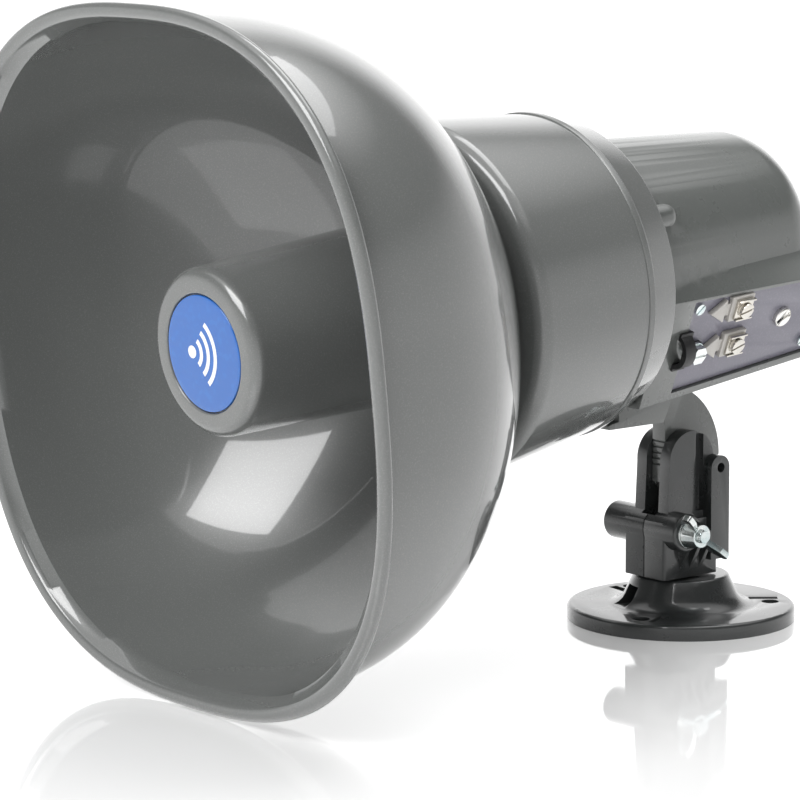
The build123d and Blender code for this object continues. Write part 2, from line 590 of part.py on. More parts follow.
def tongue():
    """Sector plate between the clamp's ears, drawn about the pivot and then set in the horn's frame."""
    cy, cz = TONGUE_BACK_CENTRE
    top = 33.0
    back_top = (cy + math.sqrt(TONGUE_BACK_R ** 2 - (top - cz) ** 2), top)
    back = (cy + TONGUE_BACK_R, cz)
    middle_z = (top + cz) / 2
    back_middle = (cy + math.sqrt(TONGUE_BACK_R ** 2 - (middle_z - cz) ** 2), middle_z)
    outline = Polyline(back, (10.5, -10.5), (4, -13), (-4, -13), (TONGUE_FRONT, -8), (TONGUE_FRONT, top + 8),
                       (back_top[0], top + 8), back_top)
    outline += ThreePointArc(back_top, back_middle, back)
    plate = extrude(Plane.YZ * make_face(outline), TONGUE_HALF_T, both=True)
    for i in range(TOOTH_COUNT):
        gap = Pos(0, TONGUE_FRONT, i * TOOTH_STEP) * Rot(45, 0, 0) * Box(10, TOOTH_DEEP, TOOTH_DEEP)
        plate -= gap
    py, pz = pivot_in_horn()
    return Pos(0, py, pz) * Rot(-TILT, 0, 0) * plate


def tongue_bracket():
    py, pz = pivot_in_horn()
    front, rear = BRACKET_Y
    toe_front, toe_rear = BRACKET_TOE
    drop = BRACKET_DEEP_Z - PIVOT_Z
    deep_front = from_pivot(-56.8, drop)
    deep_rear = from_pivot(BRACKET_DEEP_END_Y - PIVOT_Y, drop)
    body = side_plate([(front, underside_z(front)), (front, -66.2), (toe_rear, -66.4), (toe_front, -66.8), deep_front,
                       deep_rear, (deep_rear[0] + 6, underside_z(-24) - BRACKET_T),
                       (rear, underside_z(rear) - BRACKET_T), (rear, underside_z(rear))],
                      -BRACKET_HALF_W, BRACKET_HALF_W)
    plate = tongue()
    below = block(-30, 30, front, 60, -200, underside_z(front) - 0.5)
    body += plate & below
    body -= tube_x(PIN_R + RUN_FIT, -30, 30, py, pz)
    return body - bracket_screw_set(0.05)


def bracket_screw_set(grow=0.0):
    screws = []
    for x in BRACKET_SCREW_X:
        for y in BRACKET_SCREW_Y:
            top = underside_z(y) + HOUSING_WALL + 1.2
            head = Pos(x, y, top + 1.2) * Cylinder(4.0 + grow, 2.4)
            shank = Pos(x, y, top - 4.2) * Cylinder(2.0 + grow, 8.4)
            screws.append(head + shank)
    return screws[0] + screws[1] + screws[2] + screws[3]


# ---------------------------------------------------------------- swivel mount
def base_flange():
    disc = turned([(0, 0), (BASE_R, 0), (BASE_R, BASE_T), (HUB_LOW_R, BASE_T), (HUB_TOP_R + 2, HUB_TOP_Z - 4),
                   (HUB_TOP_R, HUB_TOP_Z), (STEM_R, HUB_TOP_Z), (STEM_R, STEM_HEAD_Z[0]),
                   (STEM_HEAD_R, STEM_HEAD_Z[0]), (STEM_HEAD_R, STEM_HEAD_Z[1]), (0, STEM_HEAD_Z[1])], Axis.Z)
    circles = disc.edges().filter_by(GeomType.CIRCLE)
    rim = circles.filter_by(lambda e: e.radius > BASE_R - 0.1).sort_by(Axis.Z)[-1]
    crest = circles.filter_by(lambda e: abs(e.radius - HUB_TOP_R) < 0.01)[0]
    flank = circles.filter_by(lambda e: abs(e.radius - HUB_TOP_R - 2) < 0.01)[0]
    disc = fillet([rim, crest, flank], FLANGE_ROUND)
    root = disc.edges().filter_by(GeomType.CIRCLE).filter_by(lambda e: abs(e.radius - HUB_LOW_R) < 0.01)[0]
    disc = fillet(root, HUB_HOLLOW_R)
    for i in range(3):
        turn = Rot(0, 0, SCREW_AZIMUTH + 120 * i)
        disc -= turn * Pos(SCREW_CIRCLE_R, 0, 0) * Cylinder(SCREW_HOLE_R, 30)
        disc -= turn * Pos(SCREW_CIRCLE_R - 2.5, SLOT_OFFSET, BASE_T) * Box(SLOT_L, SLOT_W, 2 * SLOT_DEEP)
    notch = block(-NOTCH_HALF_W, NOTCH_HALF_W, *NOTCH_Y, BASE_T + 0.4, NOTCH_TOP_Z)
    return disc - Rot(0, 0, NOTCH_TURN) * notch


def clamp_half(side):
    """One half of the swivel clamp; side is +1 for +X and -1 for -X. Drawn for +X, then mirrored."""
    gap = CLAMP_GAP
    arch = tube_x(EAR_R, TONGUE_HALF_T + SIDE_PLAY, EAR_OUT_X, PIVOT_Y + 1, PIVOT_Z + 2)
    ear = side_plate([(-17.1, 73), (-18.6, 44), (10.0, 44), (9.1, 73)], gap, EAR_OUT_X)
    foot = block(gap, 13, -22.6, 10, CLAMP_Z, 47)
    foot = fillet(foot.edges().filter_by(Axis.Z).sort_by(Axis.X)[-2:], 1.5)
    barrel_x = BARREL_RIGHT_X if side > 0 else BARREL_LEFT_X
    barrel = tube_x(BARREL_R, gap, barrel_x, BARREL_Y, BARREL_Z)
    barrel = fillet(barrel.edges().filter_by(GeomType.CIRCLE).sort_by(Axis.X)[-1], 1.2)
    half = arch + ear + foot + barrel
    for i in range(RIB_COUNT):
        y = -12.5 + RIB_STEP * i
        rib = block(12, 19, y - RIB_T / 2, y + RIB_T / 2, CLAMP_Z, 42)
        rib -= Pos(20, y, CLAMP_Z) * Rot(0, RIB_LEAN, 0) * Box(16, 6, 70)
        half += rib
    if side > 0:
        half += block(*LUG_X, LUG_Y - LUG_R, LUG_Y + LUG_R, 28, LUG_Z) + tube_x(LUG_R, *LUG_X, LUG_Y, LUG_Z)
        half -= tube_x(LUG_HOLE_R, LUG_X[0], LUG_X[1] + 4, LUG_Y + 0.3, LUG_Z)
        half -= block(EAR_OUT_X - 2.5, EAR_OUT_X + 3.4, -1.6, 3, 50, 90)
    else:
        socket = extrude(RegularPolygon(BOLT_HEAD_R + BOLT_PLAY, 6), 4.2, both=True)
        half -= Pos(BARREL_LEFT_X, BARREL_Y, BARREL_Z) * Rot(0, 90, 0) * socket
    half -= tube_x(TONGUE_R + 0.9, -1, TONGUE_HALF_T + SIDE_PLAY, PIVOT_Y, PIVOT_Z)
    half -= tube_x(BOLT_R + BOLT_PLAY, -1, 40, BARREL_Y, BARREL_Z)
    half -= tube_x(PIN_R + 0.01, -1, PIN_HALF, PIVOT_Y, PIVOT_Z)
    half -= Pos(0, 0, 25) * Cylinder(STEM_R + RUN_FIT, 30)
    half -= Pos(0, 0, (STEM_HEAD_Z[0] + STEM_HEAD_Z[1]) / 2) * Cylinder(STEM_HEAD_R + RUN_FIT, 5.8)
    return half if side > 0 else mirror(half, Plane.YZ)


def tilt_pin():
    return tube_x(PIN_R, 0.05 - PIN_HALF, PIN_HALF - 0.05, PIVOT_Y, PIVOT_Z)


def clamp_bolt():
    head_x = -BARREL_LEFT_X + 0.2
    head = Rot(0, 90, 0) * extrude(RegularPolygon(BOLT_HEAD_R, 6), BOLT_HEAD_T)
    head = Pos(head_x, BARREL_Y, BARREL_Z) * head
    shank = tube_x(BOLT_R, head_x + 1, BOLT_END_X, BARREL_Y, BARREL_Z)
    shank = chamfer(shank.edges().sort_by(Axis.X)[-1], 0.8)
    return head + shank


def clamp_washer():
    start = BARREL_RIGHT_X + 0.02
    ring = tube_x(WASHER_R, start, start + WASHER_T, BARREL_Y, BARREL_Z)
    return ring - tube_x(BOLT_R + BOLT_PLAY, 0, 40, BARREL_Y, BARREL_Z)


def wing_nut():
    """Pressed wing nut: a tapered hub with two wings that lean outward along the bolt."""
    x0 = BARREL_RIGHT_X + WASHER_T + 0.35
    hub = Pos(x0 + WING_HUB_L / 2, 0, 0) * Rot(0, 90, 0) * Cone(WING_HUB_R, WING_HUB_TOP_R, WING_HUB_L)
    outline = [(0.8, 4.2), (4.2, 12.5), (8.6, 16.4), (12.2, 15.6), (11.0, 10.5), (6.8, 4.0)]
    wing = Pos(x0, 0, 0) * make_face(Polyline(*outline, close=True))
    wing = extrude(wing, amount=WING_HALF_T, both=True)
    wing = fillet(wing.edges().filter_by(Axis.Z).sort_by(Axis.Y)[-4:], 1.6)
    nut = hub + wing + mirror(wing, Plane.XZ)
    nut -= tube_x(BOLT_R + RUN_FIT, x0 - 1, x0 + 20)
    return Pos(0, BARREL_Y, BARREL_Z) * Rot(WING_ANGLE, 0, 0) * nut


# ---------------------------------------------------------------- output
HORN_PARTS = {
    "bell": bell, "reflector": reflector, "badge_disc": badge, "tone_arm": tone_arm,
    "reflector_fins": reflector_fins, "drum_casing": drum_casing, "drum_cover": drum_cover,
    "housing_screws": housing_screw_set, "rear_housing": rear_housing, "housing_gasket": housing_gasket,
    "terminal_panel": terminal_panel, "panel_screws": panel_screw_set,
    "tap_switch_body": tap_switch_body, "tap_selector": tap_selector, "cable_clip": cable_clip,
    "clip_bolt": clip_bolt, "driver_front_plate": driver_front_plate, "phase_plug": phase_plug,
    "diaphragm": diaphragm, "voice_coil": voice_coil, "surround_ring": surround_ring,
    "spacer_ring": spacer_ring, "magnet_top_plate": magnet_top_plate, "ring_magnet": ring_magnet,
    "magnet_yoke": magnet_yoke, "transformer_core": transformer_core,
    "transformer_coil": transformer_coil, "transformer_bracket": transformer_bracket,
    "lead_wires": lead_wires, "tongue_bracket": tongue_bracket, "bracket_screws": bracket_screw_set,
}

for name, make in HORN_PARTS.items():
    save(name, on_horn(make()))

for i, place in enumerate(TERMINALS, start=1):
    save("terminal_base_" + str(i), on_horn(terminal_base(place)))
    save("terminal_clamp_" + str(i), on_horn(terminal_clamp(place)))
    save("terminal_screw_" + str(i), on_horn(terminal_screw(place)))

save("base_flange", base_flange())
save("clamp_half_right", clamp_half(1))
save("clamp_half_left", clamp_half(-1))
save("tilt_pin", tilt_pin())
save("clamp_bolt", clamp_bolt())
save("clamp_washer", clamp_washer())
save("wing_nut", wing_nut())
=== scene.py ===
import json
import math
import bmesh
import bpy
from mathutils import Matrix, Vector


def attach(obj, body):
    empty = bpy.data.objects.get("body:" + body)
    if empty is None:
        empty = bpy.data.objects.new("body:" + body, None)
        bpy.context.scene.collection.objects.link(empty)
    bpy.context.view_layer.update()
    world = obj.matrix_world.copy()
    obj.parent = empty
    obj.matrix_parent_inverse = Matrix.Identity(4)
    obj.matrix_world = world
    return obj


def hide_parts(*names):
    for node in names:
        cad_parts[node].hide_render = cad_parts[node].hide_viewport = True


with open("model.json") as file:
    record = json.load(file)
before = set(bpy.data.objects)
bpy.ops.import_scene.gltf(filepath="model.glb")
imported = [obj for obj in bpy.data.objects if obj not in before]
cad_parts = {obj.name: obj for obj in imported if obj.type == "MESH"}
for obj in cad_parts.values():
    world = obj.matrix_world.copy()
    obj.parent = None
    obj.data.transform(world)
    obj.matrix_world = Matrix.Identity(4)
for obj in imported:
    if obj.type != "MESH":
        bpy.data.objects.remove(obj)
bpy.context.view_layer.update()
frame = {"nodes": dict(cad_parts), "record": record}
nodes = frame["nodes"]
print("frame loaded:", len(nodes), "nodes")

mm = 0.001
horn = {"tilt": 5.27, "axisHeight": 168.7}        # nose-down angle and height of the horn's axis
hornPlace = Matrix.Translation((0, 0, horn["axisHeight"] * mm)) @ Matrix.Rotation(math.radians(horn["tilt"]),
                                                                                  4, "X")
panel = {"lean": 24.8, "topX": 56.8, "topZ": -11.0, "sink": 1.6}
leanAngle = math.radians(panel["lean"])
panelPlace = hornPlace @ Matrix((               # local X rearward, Y up the face, Z out of it
    (0, math.sin(leanAngle), math.cos(leanAngle), panel["topX"] * mm),
    (1, 0, 0, 0),
    (0, math.cos(leanAngle), -math.sin(leanAngle), panel["topZ"] * mm),
    (0, 0, 0, 1)))


# shader groups: each puts out only what changes over the surface
def newShaderGroup(name, inputs, outputs):
    group = bpy.data.node_groups.new(name, "ShaderNodeTree")
    for label, kind, value in inputs:
        socket = group.interface.new_socket(name=label, in_out="INPUT", socket_type=kind)
        if value is not None:
            socket.default_value = value
    for label, kind in outputs:
        group.interface.new_socket(name=label, in_out="OUTPUT", socket_type=kind)
    return group, group.nodes.new("NodeGroupInput"), group.nodes.new("NodeGroupOutput")


def noiseNode(tree, vector, scale, detail=3.0, roughness=0.5):
    noise = tree.nodes.new("ShaderNodeTexNoise")
    noise.inputs["Detail"].default_value = detail
    noise.inputs["Roughness"].default_value = roughness
    tree.links.new(vector, noise.inputs["Vector"])
    if isinstance(scale, (int, float)):
        noise.inputs["Scale"].default_value = scale
    else:
        tree.links.new(scale, noise.inputs["Scale"])
    return noise.outputs["Fac"]


def mathNode(tree, operation, first, second=0.0, clamp=False):
    node = tree.nodes.new("ShaderNodeMath")
    node.operation = operation
    node.use_clamp = clamp
    for socket, value in zip(node.inputs, (first, second)):
        if isinstance(value, (int, float)):
            socket.default_value = value
        else:
            tree.links.new(value, socket)
    return node.outputs[0]


def mixColor(tree, factor, first, second):
    mix = tree.nodes.new("ShaderNodeMix")
    mix.data_type = "RGBA"
    for socket, value in ((mix.inputs[0], factor), (mix.inputs[6], first), (mix.inputs[7], second)):
        if isinstance(value, (int, float, tuple)):
            socket.default_value = value
        else:
            tree.links.new(value, socket)
    return mix.outputs[2]


def rangeNode(tree, value, low, high, outLow=0.0, outHigh=1.0):
    node = tree.nodes.new("ShaderNodeMapRange")
    tree.links.new(value, node.inputs["Value"])
    for label, number in (("From Min", low), ("From Max", high), ("To Min", outLow), ("To Max", outHigh)):
        if isinstance(number, (int, float)):
            node.inputs[label].default_value = number
        else:
            tree.links.new(number, node.inputs[label])
    return node.outputs[0]


def makeFleckGroup():     # pearly flecks and slow clouds of tone in the colour
    group, source, sink = newShaderGroup("fleckedColour", [
        ("Vector", "NodeSocketVector", None), ("Colour", "NodeSocketColor", (0.3, 0.3, 0.3, 1)),
        ("Fleck Colour", "NodeSocketColor", (0.6, 0.6, 0.6, 1)), ("Fleck Scale", "NodeSocketFloat", 900.0),
        ("Fleck Amount", "NodeSocketFloat", 0.3), ("Cloud Amount", "NodeSocketFloat", 0.1),
    ], [("Colour", "NodeSocketColor"), ("Fleck", "NodeSocketFloat")])
    vector = source.outputs["Vector"]
    cloud = rangeNode(group, noiseNode(group, vector, 11.0, 4.0, 0.6), 0.3, 0.7)
    cloudShare = mathNode(group, "MULTIPLY", cloud, source.outputs["Cloud Amount"])
    fine = noiseNode(group, vector, source.outputs["Fleck Scale"], 1.0, 0.4)
    fleck = rangeNode(group, fine, 0.54, 0.70)
    fleckShare = mathNode(group, "MULTIPLY", fleck, source.outputs["Fleck Amount"], True)
    darker = mixColor(group, cloudShare, source.outputs["Colour"], (0.02, 0.022, 0.022, 1))
    group.links.new(mixColor(group, fleckShare, darker, source.outputs["Fleck Colour"]),
                    sink.inputs["Colour"])
    group.links.new(fleck, sink.inputs["Fleck"])
    return group


def makeGrainGroup():     # roughness that varies and the fine height of a moulded or painted skin
    group, source, sink = newShaderGroup("skinGrain", [
        ("Vector", "NodeSocketVector", None), ("Grain Scale", "NodeSocketFloat", 400.0),
        ("Wave Scale", "NodeSocketFloat", 40.0), ("Wave Share", "NodeSocketFloat", 0.5),
        ("Roughness Low", "NodeSocketFloat", 0.2), ("Roughness High", "NodeSocketFloat", 0.3),
    ], [("Height", "NodeSocketFloat"), ("Roughness", "NodeSocketFloat")])
    vector = source.outputs["Vector"]
    fine = noiseNode(group, vector, source.outputs["Grain Scale"], 2.0)
    wave = noiseNode(group, vector, source.outputs["Wave Scale"], 2.0)
    wavePart = mathNode(group, "MULTIPLY", wave, source.outputs["Wave Share"])
    group.links.new(mathNode(group, "ADD", fine, wavePart), sink.inputs["Height"])
    smear = noiseNode(group, vector, 26.0, 5.0, 0.65)
    rough = rangeNode(group, smear, 0.3, 0.7, source.outputs["Roughness Low"],
                      source.outputs["Roughness High"])
    group.links.new(rough, sink.inputs["Roughness"])
    return group


def makeWearGroup():      # mask of rubbed edges, broken up by noise
    group, source, sink = newShaderGroup("edgeWear", [
        ("Vector", "NodeSocketVector", None), ("Break Scale", "NodeSocketFloat", 120.0),
        ("Amount", "NodeSocketFloat", 0.4),
    ], [("Mask", "NodeSocketFloat")])
    geometry = group.nodes.new("ShaderNodeNewGeometry")
    edge = rangeNode(group, geometry.outputs["Pointiness"], 0.53, 0.62)
    breakUp = rangeNode(group, noiseNode(group, source.outputs["Vector"], source.outputs["Break Scale"], 4.0,
                                         0.7),
                        0.42, 0.62)
    mask = mathNode(group, "MULTIPLY", edge, breakUp)
    group.links.new(mathNode(group, "MULTIPLY", mask, source.outputs["Amount"], True), sink.inputs["Mask"])
    return group


def makeTurnedGroup():    # fine lines left by plating over drawn or turned metal
    group, source, sink = newShaderGroup("machinedLines", [
        ("Vector", "NodeSocketVector", None), ("Line Scale", "NodeSocketFloat", 300.0),
        ("Tint", "NodeSocketColor", (0.5, 0.6, 0.6, 1)), ("Colour", "NodeSocketColor", (0.7, 0.7, 0.7, 1)),
        ("Tint Amount", "NodeSocketFloat", 0.4),
    ], [("Colour", "NodeSocketColor"), ("Height", "NodeSocketFloat")])
    stretch = group.nodes.new("ShaderNodeMapping")
    stretch.inputs["Scale"].default_value = (1.0, 0.08, 1.0)
    group.links.new(source.outputs["Vector"], stretch.inputs["Vector"])
    lines = noiseNode(group, stretch.outputs["Vector"], source.outputs["Line Scale"], 3.0, 0.7)
    patch = rangeNode(group, noiseNode(group, source.outputs["Vector"], 90.0, 3.0, 0.6), 0.42, 0.62)
    share = mathNode(group, "MULTIPLY", patch, source.outputs["Tint Amount"])
    group.links.new(mixColor(group, share, source.outputs["Colour"], source.outputs["Tint"]),
                    sink.inputs["Colour"])
    group.links.new(lines, sink.inputs["Height"])
    return group


fleckGroup = makeFleckGroup()
grainGroup = makeGrainGroup()
wearGroup = makeWearGroup()
turnedGroup = makeTurnedGroup()


def groupNode(tree, group, coordinates, values):
    node = tree.nodes.new("ShaderNodeGroup")
    node.node_tree = group
    tree.links.new(coordinates, node.inputs["Vector"])
    for label, value in values.items():
        node.inputs[label].default_value = value
    return node


def startMaterial(name):
    material = bpy.data.materials.new(name)
    material.use_nodes = True
    tree = material.node_tree
    shader = tree.nodes["Principled BSDF"]
    place = tree.nodes.new("ShaderNodeTexCoord")
    return material, tree, shader, place.outputs["Object"]


def bumpFrom(tree, height, strength, distance, shader):
    bump = tree.nodes.new("ShaderNodeBump")
    bump.inputs["Strength"].default_value = strength
    bump.inputs["Distance"].default_value = distance * mm
    tree.links.new(height, bump.inputs["Height"])
    tree.links.new(bump.outputs["Normal"], shader.inputs["Normal"])


def skinMaterial(name, look):        # moulded plastic, enamel, rubber: anything that isn't bare metal
    material, tree, shader, place = startMaterial(name)
    colour = groupNode(tree, fleckGroup, place, {
        "Colour": look["colour"] + (1,), "Fleck Colour": look["fleck"] + (1,),
                                                 "Fleck Scale": look["fleckScale"],
        "Fleck Amount": look["fleckAmount"], "Cloud Amount": look["cloud"]})
    grain = groupNode(tree, grainGroup, place, {
        "Grain Scale": look["grainScale"], "Wave Scale": look["waveScale"], "Wave Share": look["waveShare"],
        "Roughness Low": look["roughness"][0], "Roughness High": look["roughness"][1]})
    wear = groupNode(tree, wearGroup, place, {"Amount": look["wear"]})
    worn = mixColor(tree, wear.outputs["Mask"], colour.outputs["Colour"], look["under"] + (1,))
    tree.links.new(worn, shader.inputs["Base Color"])
    tree.links.new(grain.outputs["Roughness"], shader.inputs["Roughness"])
    bumpFrom(tree, grain.outputs["Height"], look["bump"], look["bumpDepth"], shader)
    shader.inputs["Coat Weight"].default_value = look["coat"]
    shader.inputs["Coat Roughness"].default_value = look["coatRoughness"]
    shader.inputs["Metallic"].default_value = look.get("metallic", 0.0)
    return material


def metalMaterial(name, look):       # bare or plated metal
    material, tree, shader, place = startMaterial(name)
    lines = groupNode(tree, turnedGroup, place, {
        "Colour": look["colour"] + (1,), "Tint": look["tint"] + (1,), "Tint Amount": look["tintAmount"],
        "Line Scale": look["lineScale"]})
    grain = groupNode(tree, grainGroup, place, {
        "Roughness Low": look["roughness"][0], "Roughness High": look["roughness"][1]})
    tree.links.new(lines.outputs["Colour"], shader.inputs["Base Color"])
    tree.links.new(grain.outputs["Roughness"], shader.inputs["Roughness"])
    bumpFrom(tree, lines.outputs["Height"], look["bump"], look["bumpDepth"], shader)
    shader.inputs["Metallic"].default_value = 1.0
    return material


plainSkin = {"fleck": (0.5, 0.5, 0.5), "fleckScale": 900.0, "fleckAmount": 0.0, "cloud": 0.15,
             "grainScale": 500.0,
             "waveScale": 45.0, "waveShare": 0.8, "roughness": (0.25, 0.4), "bump": 0.15, "bumpDepth": 0.05,
             "coat": 0.0, "coatRoughness": 0.1, "wear": 0.0, "under": (0.5, 0.5, 0.5)}
skins = {
    "hornGloss": {"colour": (0.128, 0.133, 0.130), "fleck": (0.34, 0.34, 0.33), "fleckAmount": 0.14,
                  "fleckScale": 2000.0, "cloud": 0.015, "roughness": (0.24, 0.27), "coat": 1.0,
                  "coatRoughness": 0.045, "bump": 0.06, "bumpDepth": 0.03, "waveScale": 22.0,
                  "waveShare": 1.5},
    "housingPaint": {"colour": (0.105, 0.112, 0.107), "fleck": (0.20, 0.21, 0.20), "fleckAmount": 0.10,
                     "cloud": 0.05,
                     "roughness": (0.24, 0.33), "coat": 0.9, "coatRoughness": 0.07, "wear": 0.08,
                     "under": (0.30, 0.30, 0.29), "bump": 0.12, "waveScale": 60.0, "waveShare": 1.2},
    "hornInner": {"colour": (0.10, 0.104, 0.10), "roughness": (0.4, 0.55)},
    "badgeBlue": {"colour": (0.002, 0.105, 0.42), "fleck": (0.01, 0.20, 0.62), "fleckAmount": 0.15,
                  "fleckScale": 300.0, "cloud": 0.06, "roughness": (0.16, 0.22), "coat": 0.8,
                  "coatRoughness": 0.04, "bump": 0.04},
    "badgeWhite": {"colour": (0.85, 0.86, 0.87), "cloud": 0.02, "roughness": (0.25, 0.35), "coat": 0.4},
    "gasketRubber": {"colour": (0.012, 0.012, 0.012), "roughness": (0.6, 0.75), "bump": 0.3},
    "panelGrey": {"colour": (0.20, 0.193, 0.235), "fleck": (0.30, 0.29, 0.34), "fleckAmount": 0.25,
                  "fleckScale": 1100.0, "cloud": 0.08, "roughness": (0.30, 0.40), "coat": 0.25, "bump": 0.2},
    "terminalCream": {"colour": (0.52, 0.50, 0.47), "cloud": 0.06, "roughness": (0.28, 0.38), "coat": 0.3},
    "switchBlack": {"colour": (0.014, 0.014, 0.015), "fleck": (0.05, 0.05, 0.05), "fleckAmount": 0.2,
                    "roughness": (0.35, 0.5), "bump": 0.4},
    "driverAlloy": {"colour": (0.45, 0.46, 0.47), "metallic": 0.9, "roughness": (0.42, 0.6), "bump": 0.5,
                    "grainScale": 250.0},
    "phenolic": {"colour": (0.20, 0.085, 0.03), "fleck": (0.35, 0.17, 0.07), "fleckAmount": 0.5,
                 "roughness": (0.4, 0.55), "bump": 0.5},
    "ferrite": {"colour": (0.035, 0.035, 0.038), "fleck": (0.12, 0.12, 0.12), "fleckAmount": 0.3,
                "roughness": (0.5, 0.7), "bump": 0.5},
    "mountEnamel": {"colour": (0.030, 0.033, 0.033), "fleck": (0.07, 0.074, 0.074), "fleckAmount": 0.10,
                    "cloud": 0.08, "roughness": (0.24, 0.34), "coat": 0.8, "coatRoughness": 0.08,
                    "wear": 0.06,
                    "under": (0.16, 0.16, 0.16), "bump": 0.14, "waveScale": 90.0, "waveShare": 1.0},
}
metals = {
    "zincSteel": {"colour": (0.78, 0.81, 0.80), "tint": (0.30, 0.47, 0.50), "tintAmount": 0.55,
                  "lineScale": 700.0,
                  "roughness": (0.13, 0.26), "bump": 0.15, "bumpDepth": 0.03},
    "nickel": {"colour": (0.60, 0.58, 0.54), "tint": (0.72, 0.66, 0.58), "tintAmount": 0.4,
               "lineScale": 500.0,
               "roughness": (0.14, 0.24), "bump": 0.12, "bumpDepth": 0.03},
    "selectorNickel": {"colour": (0.80, 0.79, 0.76), "tint": (0.6, 0.6, 0.6), "tintAmount": 0.3,
                       "lineScale": 900.0,
                       "roughness": (0.22, 0.34), "bump": 0.3, "bumpDepth": 0.03},
    "copper": {"colour": (0.80, 0.36, 0.16), "tint": (0.55, 0.20, 0.08), "tintAmount": 0.5,
               "lineScale": 900.0,
               "roughness": (0.25, 0.4), "bump": 0.4, "bumpDepth": 0.05},
    "coreIron": {"colour": (0.42, 0.42, 0.43), "tint": (0.25, 0.22, 0.20), "tintAmount": 0.4,
                 "lineScale": 400.0,
                 "roughness": (0.35, 0.5), "bump": 0.4, "bumpDepth": 0.05},
}
materials = {name: skinMaterial(name, {**plainSkin, **look}) for name, look in skins.items()}
materials.update({name: metalMaterial(name, look) for name, look in metals.items()})
print("materials:", len(materials))

finishOfSlot = {
    "horn_gloss": "hornGloss", "housing_paint": "housingPaint", "horn_inner": "hornInner",
                "badge_blue": "badgeBlue",
    "gasket_rubber": "gasketRubber", "panel_grey": "panelGrey", "zinc_steel": "zincSteel", "nickel": "nickel",
    "terminal_cream": "terminalCream", "switch_black": "switchBlack", "selector_nickel": "selectorNickel",
    "driver_alloy": "driverAlloy", "phenolic": "phenolic", "copper": "copper", "core_iron": "coreIron",
    "ferrite": "ferrite", "mount_black": "mountEnamel",
}
slotOfNode = {row["node"]: row["material_slot"] for row in frame["record"]["subparts"]}
bodyOfNode = {n: body for body, members in frame["record"]["behaviour"]["bodies"].items() for n in members}
for nodeName, cadObject in nodes.items():          # nodes that stay get their finish on their own slots
    for materialSlot in cadObject.material_slots:
        materialSlot.material = materials[finishOfSlot[slotOfNode[nodeName]]]


# making and placing pieces
def linkMesh(name, mesh):
    piece = bpy.data.objects.new(name, mesh)
    bpy.context.scene.collection.objects.link(piece)
    return piece


def bakeModifiers(piece):            # the evaluated shape as a plain mesh on a new object of the same name
    graph = bpy.context.evaluated_depsgraph_get()
    mesh = bpy.data.meshes.new_from_object(piece.evaluated_get(graph))
    name = piece.name
    bpy.data.objects.remove(piece)
    return linkMesh(name, mesh)


def settle(piece, nodeNames, material, smoothAngle=35.0):
    mesh = piece.data
    form = bmesh.new()
    form.from_mesh(mesh)
    bmesh.ops.remove_doubles(form, verts=form.verts, dist=0.002 * mm)
    bmesh.ops.recalc_face_normals(form, faces=form.faces)
    form.to_mesh(mesh)
    form.free()
    mesh.materials.clear()
    mesh.materials.append(materials[material])
    mesh.polygons.foreach_set("use_smooth", [True] * len(mesh.polygons))
    mesh.set_sharp_from_angle(angle=math.radians(smoothAngle))
    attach(piece, bodyOfNode[nodeNames[0]])
    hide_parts(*nodeNames)
    return piece


def roundedOutline(corners, steps=6):
    points = []
    for i, corner in enumerate(corners):
        here = Vector(corner[:2])
        radius = corner[2] if len(corner) > 2 else 0.0
        if radius == 0:
            points.append(here)
            continue
        back = (Vector(corners[i - 1][:2]) - here).normalized()
        ahead = (Vector(corners[(i + 1) % len(corners)][:2]) - here).normalized()
        half = back.angle(ahead) / 2
        reach = radius / math.tan(half)
        centre = here + (back + ahead).normalized() * (radius / math.sin(half))
        start, end = here + back * reach - centre, here + ahead * reach - centre
        turn = start.angle(end)
        for k in range(steps + 1):
            share = k / steps
            points.append(centre + (start * math.sin((1 - share) * turn) + end * math.sin(share * turn))
                          / math.sin(turn))
    return points


def latheMesh(name, corners, place, segments=160, steps=6):    # corners are (radius, station, rounding) in mm
    outline = roundedOutline(corners, steps)
    form = bmesh.new()
    rings = []
    for point in outline:
        radius, station = max(point.x, 0.0), point.y
        if radius < 1e-6:
            rings.append([form.verts.new((0, station * mm, 0))] * segments)
            continue
        rings.append([form.verts.new((radius * mm * math.cos(2 * math.pi * k / segments), station * mm,
                                      radius * mm * math.sin(2 * math.pi * k / segments)))
                      for k in range(segments)])
    for i, ring in enumerate(rings):
        other = rings[(i + 1) % len(rings)]
        for k in range(segments):
            corner = [ring[k], ring[(k + 1) % segments], other[(k + 1) % segments], other[k]]
            unique = list(dict.fromkeys(corner))
            if len(unique) > 2:
                form.faces.new(unique)
    mesh = bpy.data.meshes.new(name)
    form.to_mesh(mesh)
    form.free()
    mesh.transform(place)
    return linkMesh(name, mesh)


def addBevel(piece, width, segments=3, angle=30.0):
    bevel = piece.modifiers.new("softEdge", "BEVEL")
    bevel.width = width * mm
    bevel.segments = segments
    bevel.limit_method = "ANGLE"
    bevel.angle_limit = math.radians(angle)
    bevel.use_clamp_overlap = True
    return piece


def softenedNode(nodeName, width, material, segments=3, angle=32.0):    # a merged copy with rounded edges
    mesh = nodes[nodeName].data.copy()
    mesh.name = nodeName + "Soft"
    form = bmesh.new()
    form.from_mesh(mesh)
    bmesh.ops.remove_doubles(form, verts=form.verts, dist=0.005 * mm)
    bmesh.ops.dissolve_limit(form, angle_limit=math.radians(0.6), verts=form.verts, edges=form.edges)
    form.to_mesh(mesh)
    form.free()
    piece = linkMesh(nodeName + "Soft", mesh)
    addBevel(piece, width, segments, angle)
    return settle(bakeModifiers(piece), [nodeName], material, 40.0)


